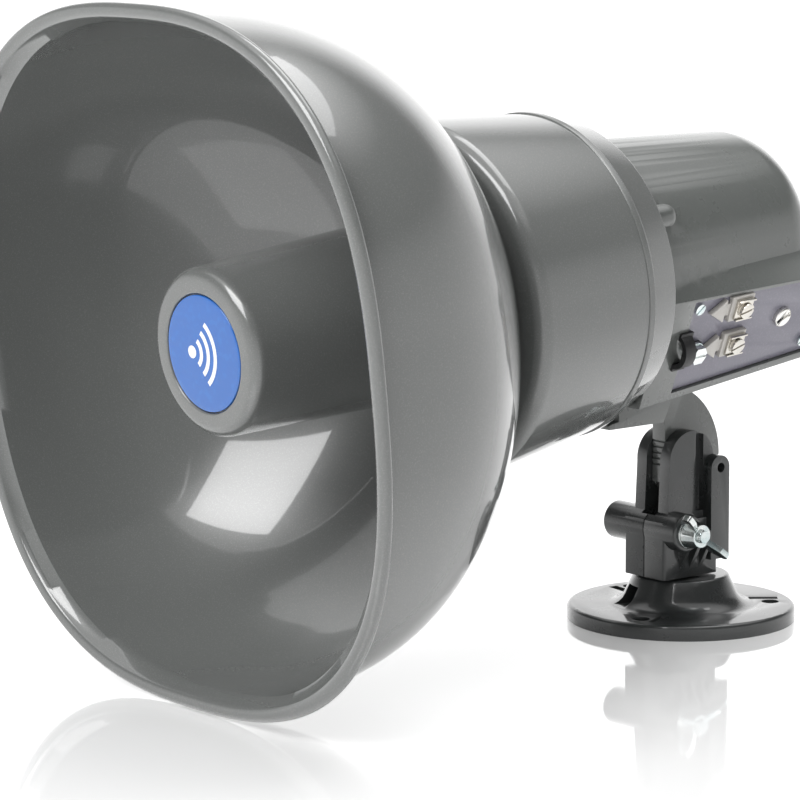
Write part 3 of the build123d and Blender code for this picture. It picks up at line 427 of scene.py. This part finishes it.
# Geometry Nodes helpers
def newTree(name, inputs):
    tree = bpy.data.node_groups.new(name, "GeometryNodeTree")
    tree.interface.new_socket(name="Geometry", in_out="OUTPUT", socket_type="NodeSocketGeometry")
    tree.interface.new_socket(name="Geometry", in_out="INPUT", socket_type="NodeSocketGeometry")
    sockets = {}
    for label, kind in inputs:
        sockets[label] = tree.interface.new_socket(name=label, in_out="INPUT", socket_type=kind).identifier
    return tree, sockets, tree.nodes.new("NodeGroupInput"), tree.nodes.new("NodeGroupOutput")


def connect(tree, value, socket):
    if isinstance(value, (int, float, tuple)):
        socket.default_value = value
    else:
        tree.links.new(value, socket)


def geometryNode(tree, kind, settings=None, **inputs):
    node = tree.nodes.new(kind)
    for key, value in (settings or {}).items():
        setattr(node, key, value)
    for label, value in inputs.items():
        connect(tree, value, node.inputs[label.replace("_", " ")])
    return node


def calc(tree, operation, first, second=0.0):
    node = tree.nodes.new("ShaderNodeMath")
    node.operation = operation
    connect(tree, first, node.inputs[0])
    connect(tree, second, node.inputs[1])
    return node.outputs[0]


def finishTree(tree, geometry, material, sink):
    real = geometryNode(tree, "GeometryNodeRealizeInstances", Geometry=geometry)
    painted = geometryNode(tree, "GeometryNodeSetMaterial", Geometry=real.outputs[0], Material=material)
    tree.links.new(painted.outputs[0], sink.inputs["Geometry"])


def runTree(name, tree, sockets, values, mesh):
    piece = linkMesh(name, mesh)
    modifier = piece.modifiers.new("maker", "NODES")
    modifier.node_group = tree
    for label, value in values.items():
        modifier[sockets[label]] = value
    return bakeModifiers(piece)


# bell: a squared flare swept round the horn's axis
bell = {"mouth": -286.0, "lipHalfWide": 139.1, "lipHalfHigh": 143.0, "lipSquareness": 2.61, "lipDepth": 5.5,
        "halfWide": 132.5, "halfHigh": 137.7, "squareness": 2.45, "wall": 2.6, "neck": -151.0,
        "neckRadius": 57.2,
        "flareRise": 2.468, "flareRound": 1.109, "throatEnd": -104.0, "lipWidth": 6.4, "crowding": 0.9,
        "stations": 56, "around": 289}


# (flare place 0 to 1, inset, share of lip, shift rearward) all the way round the wall
def bellProfile():
    front = bell["mouth"] + bell["lipDepth"] + 0.4
    rows = []
    lipRear = bell["lipDepth"]

    def lipPoint(depth, inset):
        rows.append((0.0, inset, 1.0, bell["mouth"] + depth - front))
    count = bell["stations"]
    places = [math.sin(k / count * math.pi / 2) ** bell["crowding"] for k in range(count + 1)]
    for place in reversed(places):
        rows.append((place, 0.0, 0.0, 0.0))
    rows.append((0.0, -0.9, 0.0, -0.1))
    for k in range(13):                          # rolled rim, seen in section
        turn = math.pi * k / 12
        lipPoint(lipRear / 2 + lipRear / 2 * math.cos(turn) * 0.98, 2.75 - 2.75 * math.sin(turn))
    lipPoint(0.25, 4.0)
    lipPoint(0.5, bell["lipWidth"] - 1.2)
    lipPoint(1.4, bell["lipWidth"] - 0.3)
    lipPoint(3.2, bell["lipWidth"])
    for place in places:
        rows.append((place, bell["wall"], 0.0, 0.0))
    return rows


def makeBellTree():
    names = ["Half Wide", "Half High", "Squareness", "Lip Half Wide", "Lip Half High", "Lip Squareness",
             "Neck Radius",
             "Front", "Neck", "Flare Rise", "Flare Round"]
    tree, sockets, source, sink = newTree("squaredFlare", [(n, "NodeSocketFloat") for n in names] + [
        ("Around", "NodeSocketInt"), ("Stations", "NodeSocketInt"), ("Material", "NodeSocketMaterial")])
    size = source.outputs
    grid = geometryNode(tree, "GeometryNodeMeshGrid", Vertices_X=size["Stations"], Vertices_Y=size["Around"])
    index = tree.nodes.new("GeometryNodeInputIndex").outputs[0]
    row = calc(tree, "FLOOR", calc(tree, "DIVIDE", calc(tree, "ADD", index, 0.5), size["Around"]))
    column = calc(tree, "SUBTRACT", index, calc(tree, "MULTIPLY", row, size["Around"]))
    angle = calc(tree, "MULTIPLY", calc(tree, "DIVIDE", column, calc(tree, "SUBTRACT", size["Around"], 1.0)),
                 math.tau)

    def station(label):
        attribute = geometryNode(tree, "GeometryNodeInputNamedAttribute", {"data_type": "FLOAT"})
        attribute.inputs["Name"].default_value = label
        sample = geometryNode(tree, "GeometryNodeSampleIndex", {"data_type": "FLOAT", "domain": "POINT"},
                              Geometry=size["Geometry"], Index=row)
        tree.links.new(attribute.outputs[0], sample.inputs["Value"])
        return sample.outputs[0]
    place, inset, lip, shift = station("flare"), station("inset"), station("lip"), station("shift")
    fall = calc(tree, "SUBTRACT", 1.0, calc(tree, "POWER", place, size["Flare Rise"]))
    full = calc(tree, "POWER", calc(tree, "MAXIMUM", fall, 0.0),
                calc(tree, "DIVIDE", 1.0, size["Flare Round"]))

    def between(low, high, share):
        return calc(tree, "ADD", low, calc(tree, "MULTIPLY", calc(tree, "SUBTRACT", high, low), share))
    wide = between(between(size["Neck Radius"], size["Half Wide"], full), size["Lip Half Wide"], lip)
    high = between(between(size["Neck Radius"], size["Half High"], full), size["Lip Half High"], lip)
    power = between(between(2.0, size["Squareness"], full), size["Lip Squareness"], lip)
    wide, high = calc(tree, "SUBTRACT", wide, inset), calc(tree, "SUBTRACT", high, inset)
    cosine, sine = calc(tree, "COSINE", angle), calc(tree, "SINE", angle)
    across = calc(tree, "POWER", calc(tree, "DIVIDE", calc(tree, "ABSOLUTE", cosine), wide), power)
    upward = calc(tree, "POWER", calc(tree, "DIVIDE", calc(tree, "ABSOLUTE", sine), high), power)
    radius = calc(tree, "POWER", calc(tree, "ADD", across, upward), calc(tree, "DIVIDE", -1.0, power))
    along = calc(tree, "ADD", between(size["Front"], size["Neck"], place), shift)
    position = geometryNode(tree, "ShaderNodeCombineXYZ", X=calc(tree, "MULTIPLY", radius, cosine), Y=along,
                            Z=calc(tree, "MULTIPLY", radius, sine))
    moved = geometryNode(tree, "GeometryNodeSetPosition", Geometry=grid.outputs[0],
                         Position=position.outputs[0])
    scaled = geometryNode(tree, "GeometryNodeTransform", Geometry=moved.outputs[0], Scale=(mm, mm, mm))
    joined = geometryNode(tree, "GeometryNodeMergeByDistance", Geometry=scaled.outputs[0],
                          Distance=0.001 * mm)
    finishTree(tree, joined.outputs[0], size["Material"], sink)
    return tree, sockets


def buildBell():
    rows = bellProfile()
    throat = [(1.0, bell["wall"] - 1.4, 0.0, bell["throatEnd"] - bell["neck"]),
              (1.0, -1.4, 0.0, bell["throatEnd"] - bell["neck"])]
    rows = rows + throat + [rows[0]]
    mesh = bpy.data.meshes.new("bellProfile")
    mesh.from_pydata([(0, k, 0) for k in range(len(rows))], [], [])
    for column, label in enumerate(("flare", "inset", "lip", "shift")):
        attribute = mesh.attributes.new(label, "FLOAT", "POINT")
        attribute.data.foreach_set("value", [row[column] for row in rows])
    tree, sockets = makeBellTree()
    piece = runTree("bellShell", tree, sockets, {
        "Half Wide": bell["halfWide"], "Half High": bell["halfHigh"], "Squareness": bell["squareness"],
        "Lip Half Wide": bell["lipHalfWide"], "Lip Half High": bell["lipHalfHigh"],
        "Lip Squareness": bell["lipSquareness"], "Neck Radius": bell["neckRadius"],
        "Front": bell["mouth"] + bell["lipDepth"] + 0.4, "Neck": bell["neck"],
                                                 "Flare Rise": bell["flareRise"],
        "Flare Round": bell["flareRound"], "Around": bell["around"], "Stations": len(rows),
        "Material": materials["hornGloss"]}, mesh)
    piece.data.transform(hornPlace)
    settle(piece, ["bell"], "hornGloss", 50.0)
    print("bell:", len(piece.data.polygons), "faces")


buildBell()

# reflector, its badge and the drum, all turned about the horn's axis
reflector = {"nose": -264.0, "noseRadius": 34.6, "rear": -92.0, "rearRadius": 41.0, "wall": 2.4, "round": 5.5,
             "badgeRadius": 23.9, "badgeSink": 1.6, "lipRound": 0.8, "noseThick": 4.5}
drum = {"front": -150.8, "frontRadius": 77.0, "ridge": -86.0, "ridgeRadius": 70.6, "rear": -65.4,
        "rearRadius": 64.0,
        "wall": 3.0, "round": 6.0, "neckGap": 57.8, "collar": (58.7, 61.6), "collarDeep": 14}


def buildReflector():
    nose, rear, wall = reflector["nose"], reflector["rear"], reflector["wall"]
    seat = reflector["badgeRadius"] + 0.3
    piece = latheMesh("reflectorShell", [
        (0, nose + reflector["badgeSink"]), (seat, nose + reflector["badgeSink"], 0.3),
        (seat + 0.4, nose, reflector["lipRound"]), (reflector["noseRadius"], nose, reflector["round"]),
        (reflector["rearRadius"], rear, 0.8), (reflector["rearRadius"] - wall, rear, 0.8),
        (reflector["noseRadius"] - wall, nose + reflector["noseThick"], 2.0),
                                         (0, nose + reflector["noseThick"])], hornPlace, 192, 10)
    settle(piece, ["reflector"], "hornGloss")


def buildBadge():
    face = reflector["nose"] + reflector["badgeSink"]
    radius = reflector["badgeRadius"]
    disc = latheMesh("badgeFace", [(0, face), (radius, face), (radius, face - 1.3, 0.5),
                                   (radius * 0.9, face - 1.36),
                                   (0, face - 1.4)], hornPlace, 160)
    settle(disc, ["badge_disc"], "badgeBlue")
    emblem = {"arcs": 3, "first": 5.2, "step": 4.6, "width": 2.0, "sweep": 52.0, "thick": 0.12,
              "source": -7.5,
              "dot": 2.6}
    form = bmesh.new()
    for k in range(emblem["arcs"]):              # three plain sound waves
        inner = emblem["first"] + emblem["step"] * k
        ring = []
        for depth in (face - 1.35, face - 1.4 - emblem["thick"]):
            for radius in (inner, inner + emblem["width"]):
                ring.append([form.verts.new(((emblem["source"] + radius * math.cos(turn)) * mm, depth * mm,
                                             radius * math.sin(turn) * mm))
                             for turn in [math.radians(emblem["sweep"] * (i / 12 - 1)) for i in range(25)]])
        for a, b in ((0, 1), (1, 3), (3, 2), (2, 0)):
            for i in range(24):
                form.faces.new((ring[a][i], ring[b][i], ring[b][i + 1], ring[a][i + 1]))
        for i in (0, 24):
            form.faces.new((ring[0][i], ring[1][i], ring[3][i], ring[2][i]))
    bmesh.ops.create_circle(form, segments=40, radius=emblem["dot"] * mm, cap_ends=True,
                            matrix=Matrix.Translation((emblem["source"] * mm, (face - 1.5) * mm, 0))
                            @ Matrix.Rotation(math.pi / 2, 4, "X"))
    dot = [f for f in form.faces if len(f.verts) == 40]
    pushed = bmesh.ops.extrude_face_region(form, geom=dot)
    for vert in [v for v in pushed["geom"] if isinstance(v, bmesh.types.BMVert)]:
        vert.co.y += 0.2 * mm
    bmesh.ops.recalc_face_normals(form, faces=form.faces)
    mesh = bpy.data.meshes.new("badgeEmblem")
    form.to_mesh(mesh)
    form.free()
    mesh.transform(hornPlace)
    mesh.materials.append(materials["badgeWhite"])
    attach(linkMesh("badgeEmblem", mesh), "horn")


def buildDrum():
    front, wall = drum["front"], drum["wall"]
    inner, outer = drum["collar"]
    casing = latheMesh("drumCasing", [
        (drum["neckGap"], front), (drum["frontRadius"], front, drum["round"]),
        (drum["ridgeRadius"] - 0.6, drum["ridge"]), (drum["ridgeRadius"] - 0.6 - wall, drum["ridge"]),
        (drum["frontRadius"] - wall, front + wall, 3.0), (outer, front + wall, 1.5),
                                      (outer, front + drum["collarDeep"]),
        (inner, front + drum["collarDeep"]), (inner, front + wall), (drum["neckGap"], front + wall)],
                       hornPlace, 224, 8)
    settle(casing, ["drum_casing"], "hornGloss")
    start, rear = drum["ridge"] + 0.05, drum["rear"]
    cover = latheMesh("drumCover", [
        (10.0, rear - 4), (30, rear - 4, 2), (58, rear - 9, 3), (66, start),
                                    (drum["ridgeRadius"], start, 0.7),
        (drum["ridgeRadius"], start + 3, 1.1), (drum["ridgeRadius"] - 1.9, start + 4.6, 1.2),
        (drum["rearRadius"] + 0.4, rear, 1.4), (10.0, rear)], hornPlace, 224, 8)
    settle(cover, ["drum_cover"], "hornGloss")
    print("reflector and drum made")


buildReflector()
buildBadge()
buildDrum()

# castings: merged copies with rounded edges
castings = {
    "rear_housing": (0.7, "housingPaint"), "tongue_bracket": (0.8, "housingPaint"),
            "base_flange": (0.6, "mountEnamel"),
    "clamp_half_right": (0.6, "mountEnamel"), "clamp_half_left": (0.6, "mountEnamel"),
    "terminal_base_1": (0.4, "terminalCream"), "terminal_base_2": (0.4, "terminalCream"),
    "terminal_clamp_1": (0.22, "nickel"), "terminal_clamp_2": (0.22, "nickel"),
            "cable_clip": (0.5, "switchBlack"),
    "clip_bolt": (0.3, "zincSteel"), "clamp_washer": (0.25, "zincSteel"),
            "tap_selector": (0.2, "selectorNickel"),
    "wing_nut": (0.6, "zincSteel"), "terminal_panel": (0.3, "panelGrey"),
}
for nodeName, (edge, finish) in castings.items():
    softenedNode(nodeName, edge, finish)
print("castings made")

# small repeated hardware: slotted screws and the bolt's thread
panelScrews = {"places": ((30.0, -38.135), (30.0, -18.135), (-42.1, -7.0)), "head": 2.65, "thick": 1.35,
               "shank": 1.25,
               "length": 6.0, "slot": 0.7, "slotDeep": 0.6, "base": 0.0, "seed": 4}
terminalScrews = {"offset": 5.5, "head": 3.6, "thick": 2.15, "shank": 1.7, "length": 10.6, "slot": 0.95,
                  "slotDeep": 0.75, "base": 3.82, "seed": 9}
terminals = {"terminal_screw_1": (-23.0, -10.2), "terminal_screw_2": (-22.2, -28.4)}
bolt = {"y": -14.8, "z": 42.8, "start": -25.2, "end": 30.9, "crest": 2.86, "root": 2.45, "pitch": 1.25,
        "headStart": -26.2, "head": 5.55, "headThick": 3.6}


def makeScrewTree():
    labels = ["Head", "Thick", "Shank", "Length", "Slot", "Slot Deep"]
    tree, sockets, source, sink = newTree("slottedScrews", [(n, "NodeSocketFloat") for n in labels] + [
        ("Seed", "NodeSocketInt"), ("Material", "NodeSocketMaterial")])
    size = source.outputs
    head = geometryNode(tree, "GeometryNodeMeshCylinder", Vertices=48, Radius=size["Head"],
                        Depth=size["Thick"])
    headUp = geometryNode(tree, "ShaderNodeCombineXYZ", Z=calc(tree, "MULTIPLY", size["Thick"], 0.5))
    raised = geometryNode(tree, "GeometryNodeTransform", Geometry=head.outputs[0],
                          Translation=headUp.outputs[0])
    wide = geometryNode(tree, "ShaderNodeCombineXYZ", X=calc(tree, "MULTIPLY", size["Head"], 3.0),
                        Y=size["Slot"],
                        Z=calc(tree, "MULTIPLY", size["Slot Deep"], 2.0))
    cutter = geometryNode(tree, "GeometryNodeMeshCube", Size=wide.outputs[0])
    cutUp = geometryNode(tree, "ShaderNodeCombineXYZ", Z=size["Thick"])
    placed = geometryNode(tree, "GeometryNodeTransform", Geometry=cutter.outputs[0],
                          Translation=cutUp.outputs[0])
    cut = geometryNode(tree, "GeometryNodeMeshBoolean", {"operation": "DIFFERENCE"})
    tree.links.new(raised.outputs[0], cut.inputs["Mesh 1"])
    tree.links.new(placed.outputs[0], cut.inputs["Mesh 2"])
    shank = geometryNode(tree, "GeometryNodeMeshCylinder", Vertices=32, Radius=size["Shank"],
                         Depth=size["Length"])
    shankDown = geometryNode(tree, "ShaderNodeCombineXYZ",
                             Z=calc(tree, "ADD", calc(tree, "MULTIPLY", size["Length"], -0.5), 0.2))
    lowered = geometryNode(tree, "GeometryNodeTransform", Geometry=shank.outputs[0],
                           Translation=shankDown.outputs[0])
    joined = tree.nodes.new("GeometryNodeJoinGeometry")
    tree.links.new(cut.outputs["Mesh"], joined.inputs[0])
    tree.links.new(lowered.outputs[0], joined.inputs[0])
    turn = tree.nodes.new("FunctionNodeRandomValue")
    turn.data_type = "FLOAT"
    turnInputs = [i for i in turn.inputs if i.enabled]
    turnInputs[0].default_value, turnInputs[1].default_value = -1.2, 1.2
    tree.links.new(size["Seed"], turn.inputs["Seed"])
    turned = geometryNode(tree, "ShaderNodeCombineXYZ", Z=[o for o in turn.outputs if o.enabled][0])
    spread = geometryNode(tree, "GeometryNodeInstanceOnPoints", Points=size["Geometry"],
                          Instance=joined.outputs[0],
                          Rotation=turned.outputs[0])
    finishTree(tree, spread.outputs[0], size["Material"], sink)
    return tree, sockets


def pointMesh(name, places, height):     # in mm, as the tree works in mm and the result is scaled
    mesh = bpy.data.meshes.new(name)
    mesh.from_pydata([(x, y, height) for x, y in places], [], [])
    return mesh


screwTree, screwSockets = makeScrewTree()


def buildScrews(nodeName, settings, places, finish, seed):
    piece = runTree(nodeName + "Slotted", screwTree, screwSockets, {
        "Head": settings["head"], "Thick": settings["thick"], "Shank": settings["shank"],
        "Length": settings["length"], "Slot": settings["slot"], "Slot Deep": settings["slotDeep"],
                                                                    "Seed": seed,
        "Material": materials[finish]}, pointMesh(nodeName + "Places", places,
                                                  settings["base"] - panel["sink"]))
    piece.data.transform(panelPlace @ Matrix.Scale(mm, 4))
    piece = bakeModifiers(addBevel(piece, 0.14, 2, 40.0))
    settle(piece, [nodeName], finish, 40.0)


def makeThreadTree():
    labels = ["Crest", "Root", "Pitch", "Start", "End", "Head", "Head Start", "Head Thick"]
    tree, sockets, source, sink = newTree("threadedBolt", [(n, "NodeSocketFloat") for n in labels] + [
        ("Around", "NodeSocketInt"), ("Stations", "NodeSocketInt"), ("Material", "NodeSocketMaterial")])
    size = source.outputs
    grid = geometryNode(tree, "GeometryNodeMeshGrid", Vertices_X=size["Stations"], Vertices_Y=size["Around"])
    index = tree.nodes.new("GeometryNodeInputIndex").outputs[0]
    row = calc(tree, "FLOOR", calc(tree, "DIVIDE", calc(tree, "ADD", index, 0.5), size["Around"]))
    column = calc(tree, "SUBTRACT", index, calc(tree, "MULTIPLY", row, size["Around"]))
    part = calc(tree, "DIVIDE", column, calc(tree, "SUBTRACT", size["Around"], 1.0))
    last = calc(tree, "SUBTRACT", size["Stations"], 1.0)
    share = calc(tree, "DIVIDE", calc(tree, "SUBTRACT", row, 1.0), calc(tree, "SUBTRACT", last, 2.0))
    share = calc(tree, "MINIMUM", calc(tree, "MAXIMUM", share, 0.0), 1.0)
    span = calc(tree, "SUBTRACT", size["End"], size["Start"])
    along = calc(tree, "ADD", size["Start"], calc(tree, "MULTIPLY", span, share))
    phase = calc(tree, "FRACT", calc(tree, "ADD", calc(tree, "DIVIDE", calc(tree, "MULTIPLY", span, share),
                                                       size["Pitch"]), part))
    groove = calc(tree, "MULTIPLY", calc(tree, "ABSOLUTE", calc(tree, "SUBTRACT", phase, 0.5)), 2.0)
    depth = calc(tree, "SUBTRACT", size["Crest"], size["Root"])
    radius = calc(tree, "SUBTRACT", size["Crest"], calc(tree, "MULTIPLY", groove, depth))
    inside = calc(tree, "MULTIPLY", calc(tree, "GREATER_THAN", row, 0.5),
                  calc(tree, "LESS_THAN", row, calc(tree, "SUBTRACT", last, 0.5)))
    radius = calc(tree, "MULTIPLY", radius, inside)
    angle = calc(tree, "MULTIPLY", part, math.tau)
    position = geometryNode(tree, "ShaderNodeCombineXYZ", X=along, Y=calc(tree, "MULTIPLY", radius,
                            calc(tree, "COSINE", angle)),
                            Z=calc(tree, "MULTIPLY", radius, calc(tree, "SINE", angle)))
    moved = geometryNode(tree, "GeometryNodeSetPosition", Geometry=grid.outputs[0],
                         Position=position.outputs[0])
    rod = geometryNode(tree, "GeometryNodeMergeByDistance", Geometry=moved.outputs[0], Distance=0.001)
    hexagon = geometryNode(tree, "GeometryNodeMeshCylinder", Vertices=6, Radius=size["Head"],
                           Depth=size["Head Thick"])
    headAt = geometryNode(tree, "ShaderNodeCombineXYZ", X=calc(tree, "ADD", size["Head Start"], calc(
        tree, "MULTIPLY", size["Head Thick"], 0.5)))
    lying = geometryNode(tree, "GeometryNodeTransform", Geometry=hexagon.outputs[0],
                         Translation=headAt.outputs[0],
                         Rotation=(0.0, math.pi / 2, 0.0))
    joined = tree.nodes.new("GeometryNodeJoinGeometry")
    tree.links.new(rod.outputs[0], joined.inputs[0])
    tree.links.new(lying.outputs[0], joined.inputs[0])
    finishTree(tree, joined.outputs[0], size["Material"], sink)
    return tree, sockets


def buildBolt():
    tree, sockets = makeThreadTree()
    stations = int((bolt["end"] - bolt["start"]) / bolt["pitch"] * 8) + 3
    piece = runTree("threadedBolt", tree, sockets, {
        "Crest": bolt["crest"], "Root": bolt["root"], "Pitch": bolt["pitch"], "Start": bolt["start"],
        "End": bolt["end"], "Head": bolt["head"], "Head Start": bolt["headStart"],
                                                    "Head Thick": bolt["headThick"],
        "Around": 49, "Stations": stations, "Material": materials["zincSteel"]},
                    bpy.data.meshes.new("boltSeed"))
    piece.data.transform(Matrix.Translation((0, bolt["y"] * mm, bolt["z"] * mm)) @ Matrix.Scale(mm, 4))
    settle(piece, ["clamp_bolt"], "zincSteel", 50.0)


buildScrews("panel_screws", panelScrews, panelScrews["places"], "zincSteel", panelScrews["seed"])
for screwName, (along, up) in terminals.items():
    buildScrews(screwName, terminalScrews, [(along + terminalScrews["offset"], up)], "nickel",
                terminalScrews["seed"] + int(screwName[-1]))
buildBolt()
print("screws and bolt made")

# studio: floor, room, lights and camera
studio = {"floorTone": (0.90, 0.90, 0.90), "floorRoughness": 0.035, "floorGloss": 0.9, "floorGlow": 0.22,
          "backdrop": (-0.775, 0.632, 0.0), "backdropBright": 1.0,     # the pale wall behind the object
          "backdropEdge": (0.72, 0.90), "floorReach": 6.0,
          # height of the direction above the horizon (its sine) and how bright the room is there
          "room": ((0.0, 0.75), (0.20, 0.50), (0.34, 0.09), (0.62, 0.09), (0.76, 0.9), (1.0, 1.0)),
          "roomStrength": 1.35}
lamps = {"keyBox": ((0.21, -1.49, 1.35), (-0.07, -0.18, 0.07), 1.15, 1.0, 28.0),
         "topBox": ((0.0, 0.3, 1.6), (0, -0.1, 0.15), 1.2, 0.8, 10.0)}
camera = {"place": (1.20219, -1.14233, 0.36385), "ahead": (-0.7651, 0.6241, -0.1582), "lens": 169.75,
          "roll": (-0.1196, 0.1035, 0.9874)}


def buildFloor():
    material, tree, shader, place = startMaterial("studioFloor")
    noise = noiseNode(tree, place, 6.0, 3.0)
    rough = rangeNode(tree, noise, 0.3, 0.7, studio["floorRoughness"], studio["floorRoughness"] + 0.04)
    tree.links.new(rough, shader.inputs["Roughness"])
    shader.inputs["Base Color"].default_value = studio["floorTone"] + (1,)
    shader.inputs["Coat Weight"].default_value = studio["floorGloss"]
    shader.inputs["Coat Roughness"].default_value = studio["floorRoughness"]
    shader.inputs["Emission Color"].default_value = (1, 1, 1, 1)
    shader.inputs["Emission Strength"].default_value = studio["floorGlow"]
    mesh = bpy.data.meshes.new("studioFloor")
    reach = studio["floorReach"]
    mesh.from_pydata([(-reach, -reach, 0), (reach, -reach, 0), (reach, reach, 0), (-reach, reach, 0)], [],
                     [(0, 1, 2, 3)])
    mesh.materials.append(material)
    linkMesh("studioFloor", mesh)


def addSoftbox(name, place, aim, wide, high, power):
    lamp = bpy.data.lights.new(name, "AREA")
    lamp.shape = "RECTANGLE"
    lamp.size, lamp.size_y, lamp.energy = wide, high, power
    holder = bpy.data.objects.new(name, lamp)
    bpy.context.scene.collection.objects.link(holder)
    holder.location = place
    holder.rotation_mode = "QUATERNION"
    holder.rotation_quaternion = (Vector(aim) - Vector(place)).to_track_quat("-Z", "Y")


def buildWorld():
    world = bpy.data.worlds.new("studioWorld")
    bpy.context.scene.world = world
    world.use_nodes = True
    tree = world.node_tree
    background = tree.nodes["Background"]
    direction = tree.nodes.new("ShaderNodeTexCoord")
    split = tree.nodes.new("ShaderNodeSeparateXYZ")
    tree.links.new(direction.outputs["Generated"], split.inputs[0])
    ramp = tree.nodes.new("ShaderNodeValToRGB")
    tree.links.new(split.outputs["Z"], ramp.inputs[0])
    stops = ramp.color_ramp.elements
    while len(stops) < len(studio["room"]):
        stops.new(0.5)
    for stop, (height, bright) in zip(stops, studio["room"]):
        stop.position = height
        stop.color = (bright, bright, bright, 1)
    toward = tree.nodes.new("ShaderNodeVectorMath")
    toward.operation = "DOT_PRODUCT"
    toward.inputs[1].default_value = studio["backdrop"]
    tree.links.new(direction.outputs["Generated"], toward.inputs[0])
    behind = rangeNode(tree, toward.outputs["Value"], *studio["backdropEdge"])
    wall = (studio["backdropBright"],) * 3 + (1,)
    tree.links.new(mixColor(tree, behind, ramp.outputs["Color"], wall), background.inputs["Color"])
    background.inputs["Strength"].default_value = studio["roomStrength"]


def buildCamera():
    data = bpy.data.cameras.new("viewCamera")
    data.lens = camera["lens"]
    data.sensor_width = 36.0
    data.clip_start, data.clip_end = 0.05, 50.0
    holder = bpy.data.objects.new("viewCamera", data)
    bpy.context.scene.collection.objects.link(holder)
    ahead = Vector(camera["ahead"]).normalized()
    side = ahead.cross(Vector(camera["roll"])).normalized()
    up = side.cross(ahead)
    turn = Matrix((side, up, -ahead)).transposed().to_4x4()
    holder.matrix_world = Matrix.Translation(camera["place"]) @ turn
    bpy.context.scene.camera = holder


buildFloor()
buildWorld()
for lampName, lampSettings in lamps.items():
    addSoftbox(lampName, *lampSettings)
print("studio made")
buildCamera()
bpy.context.scene.view_settings.view_transform = "Standard"
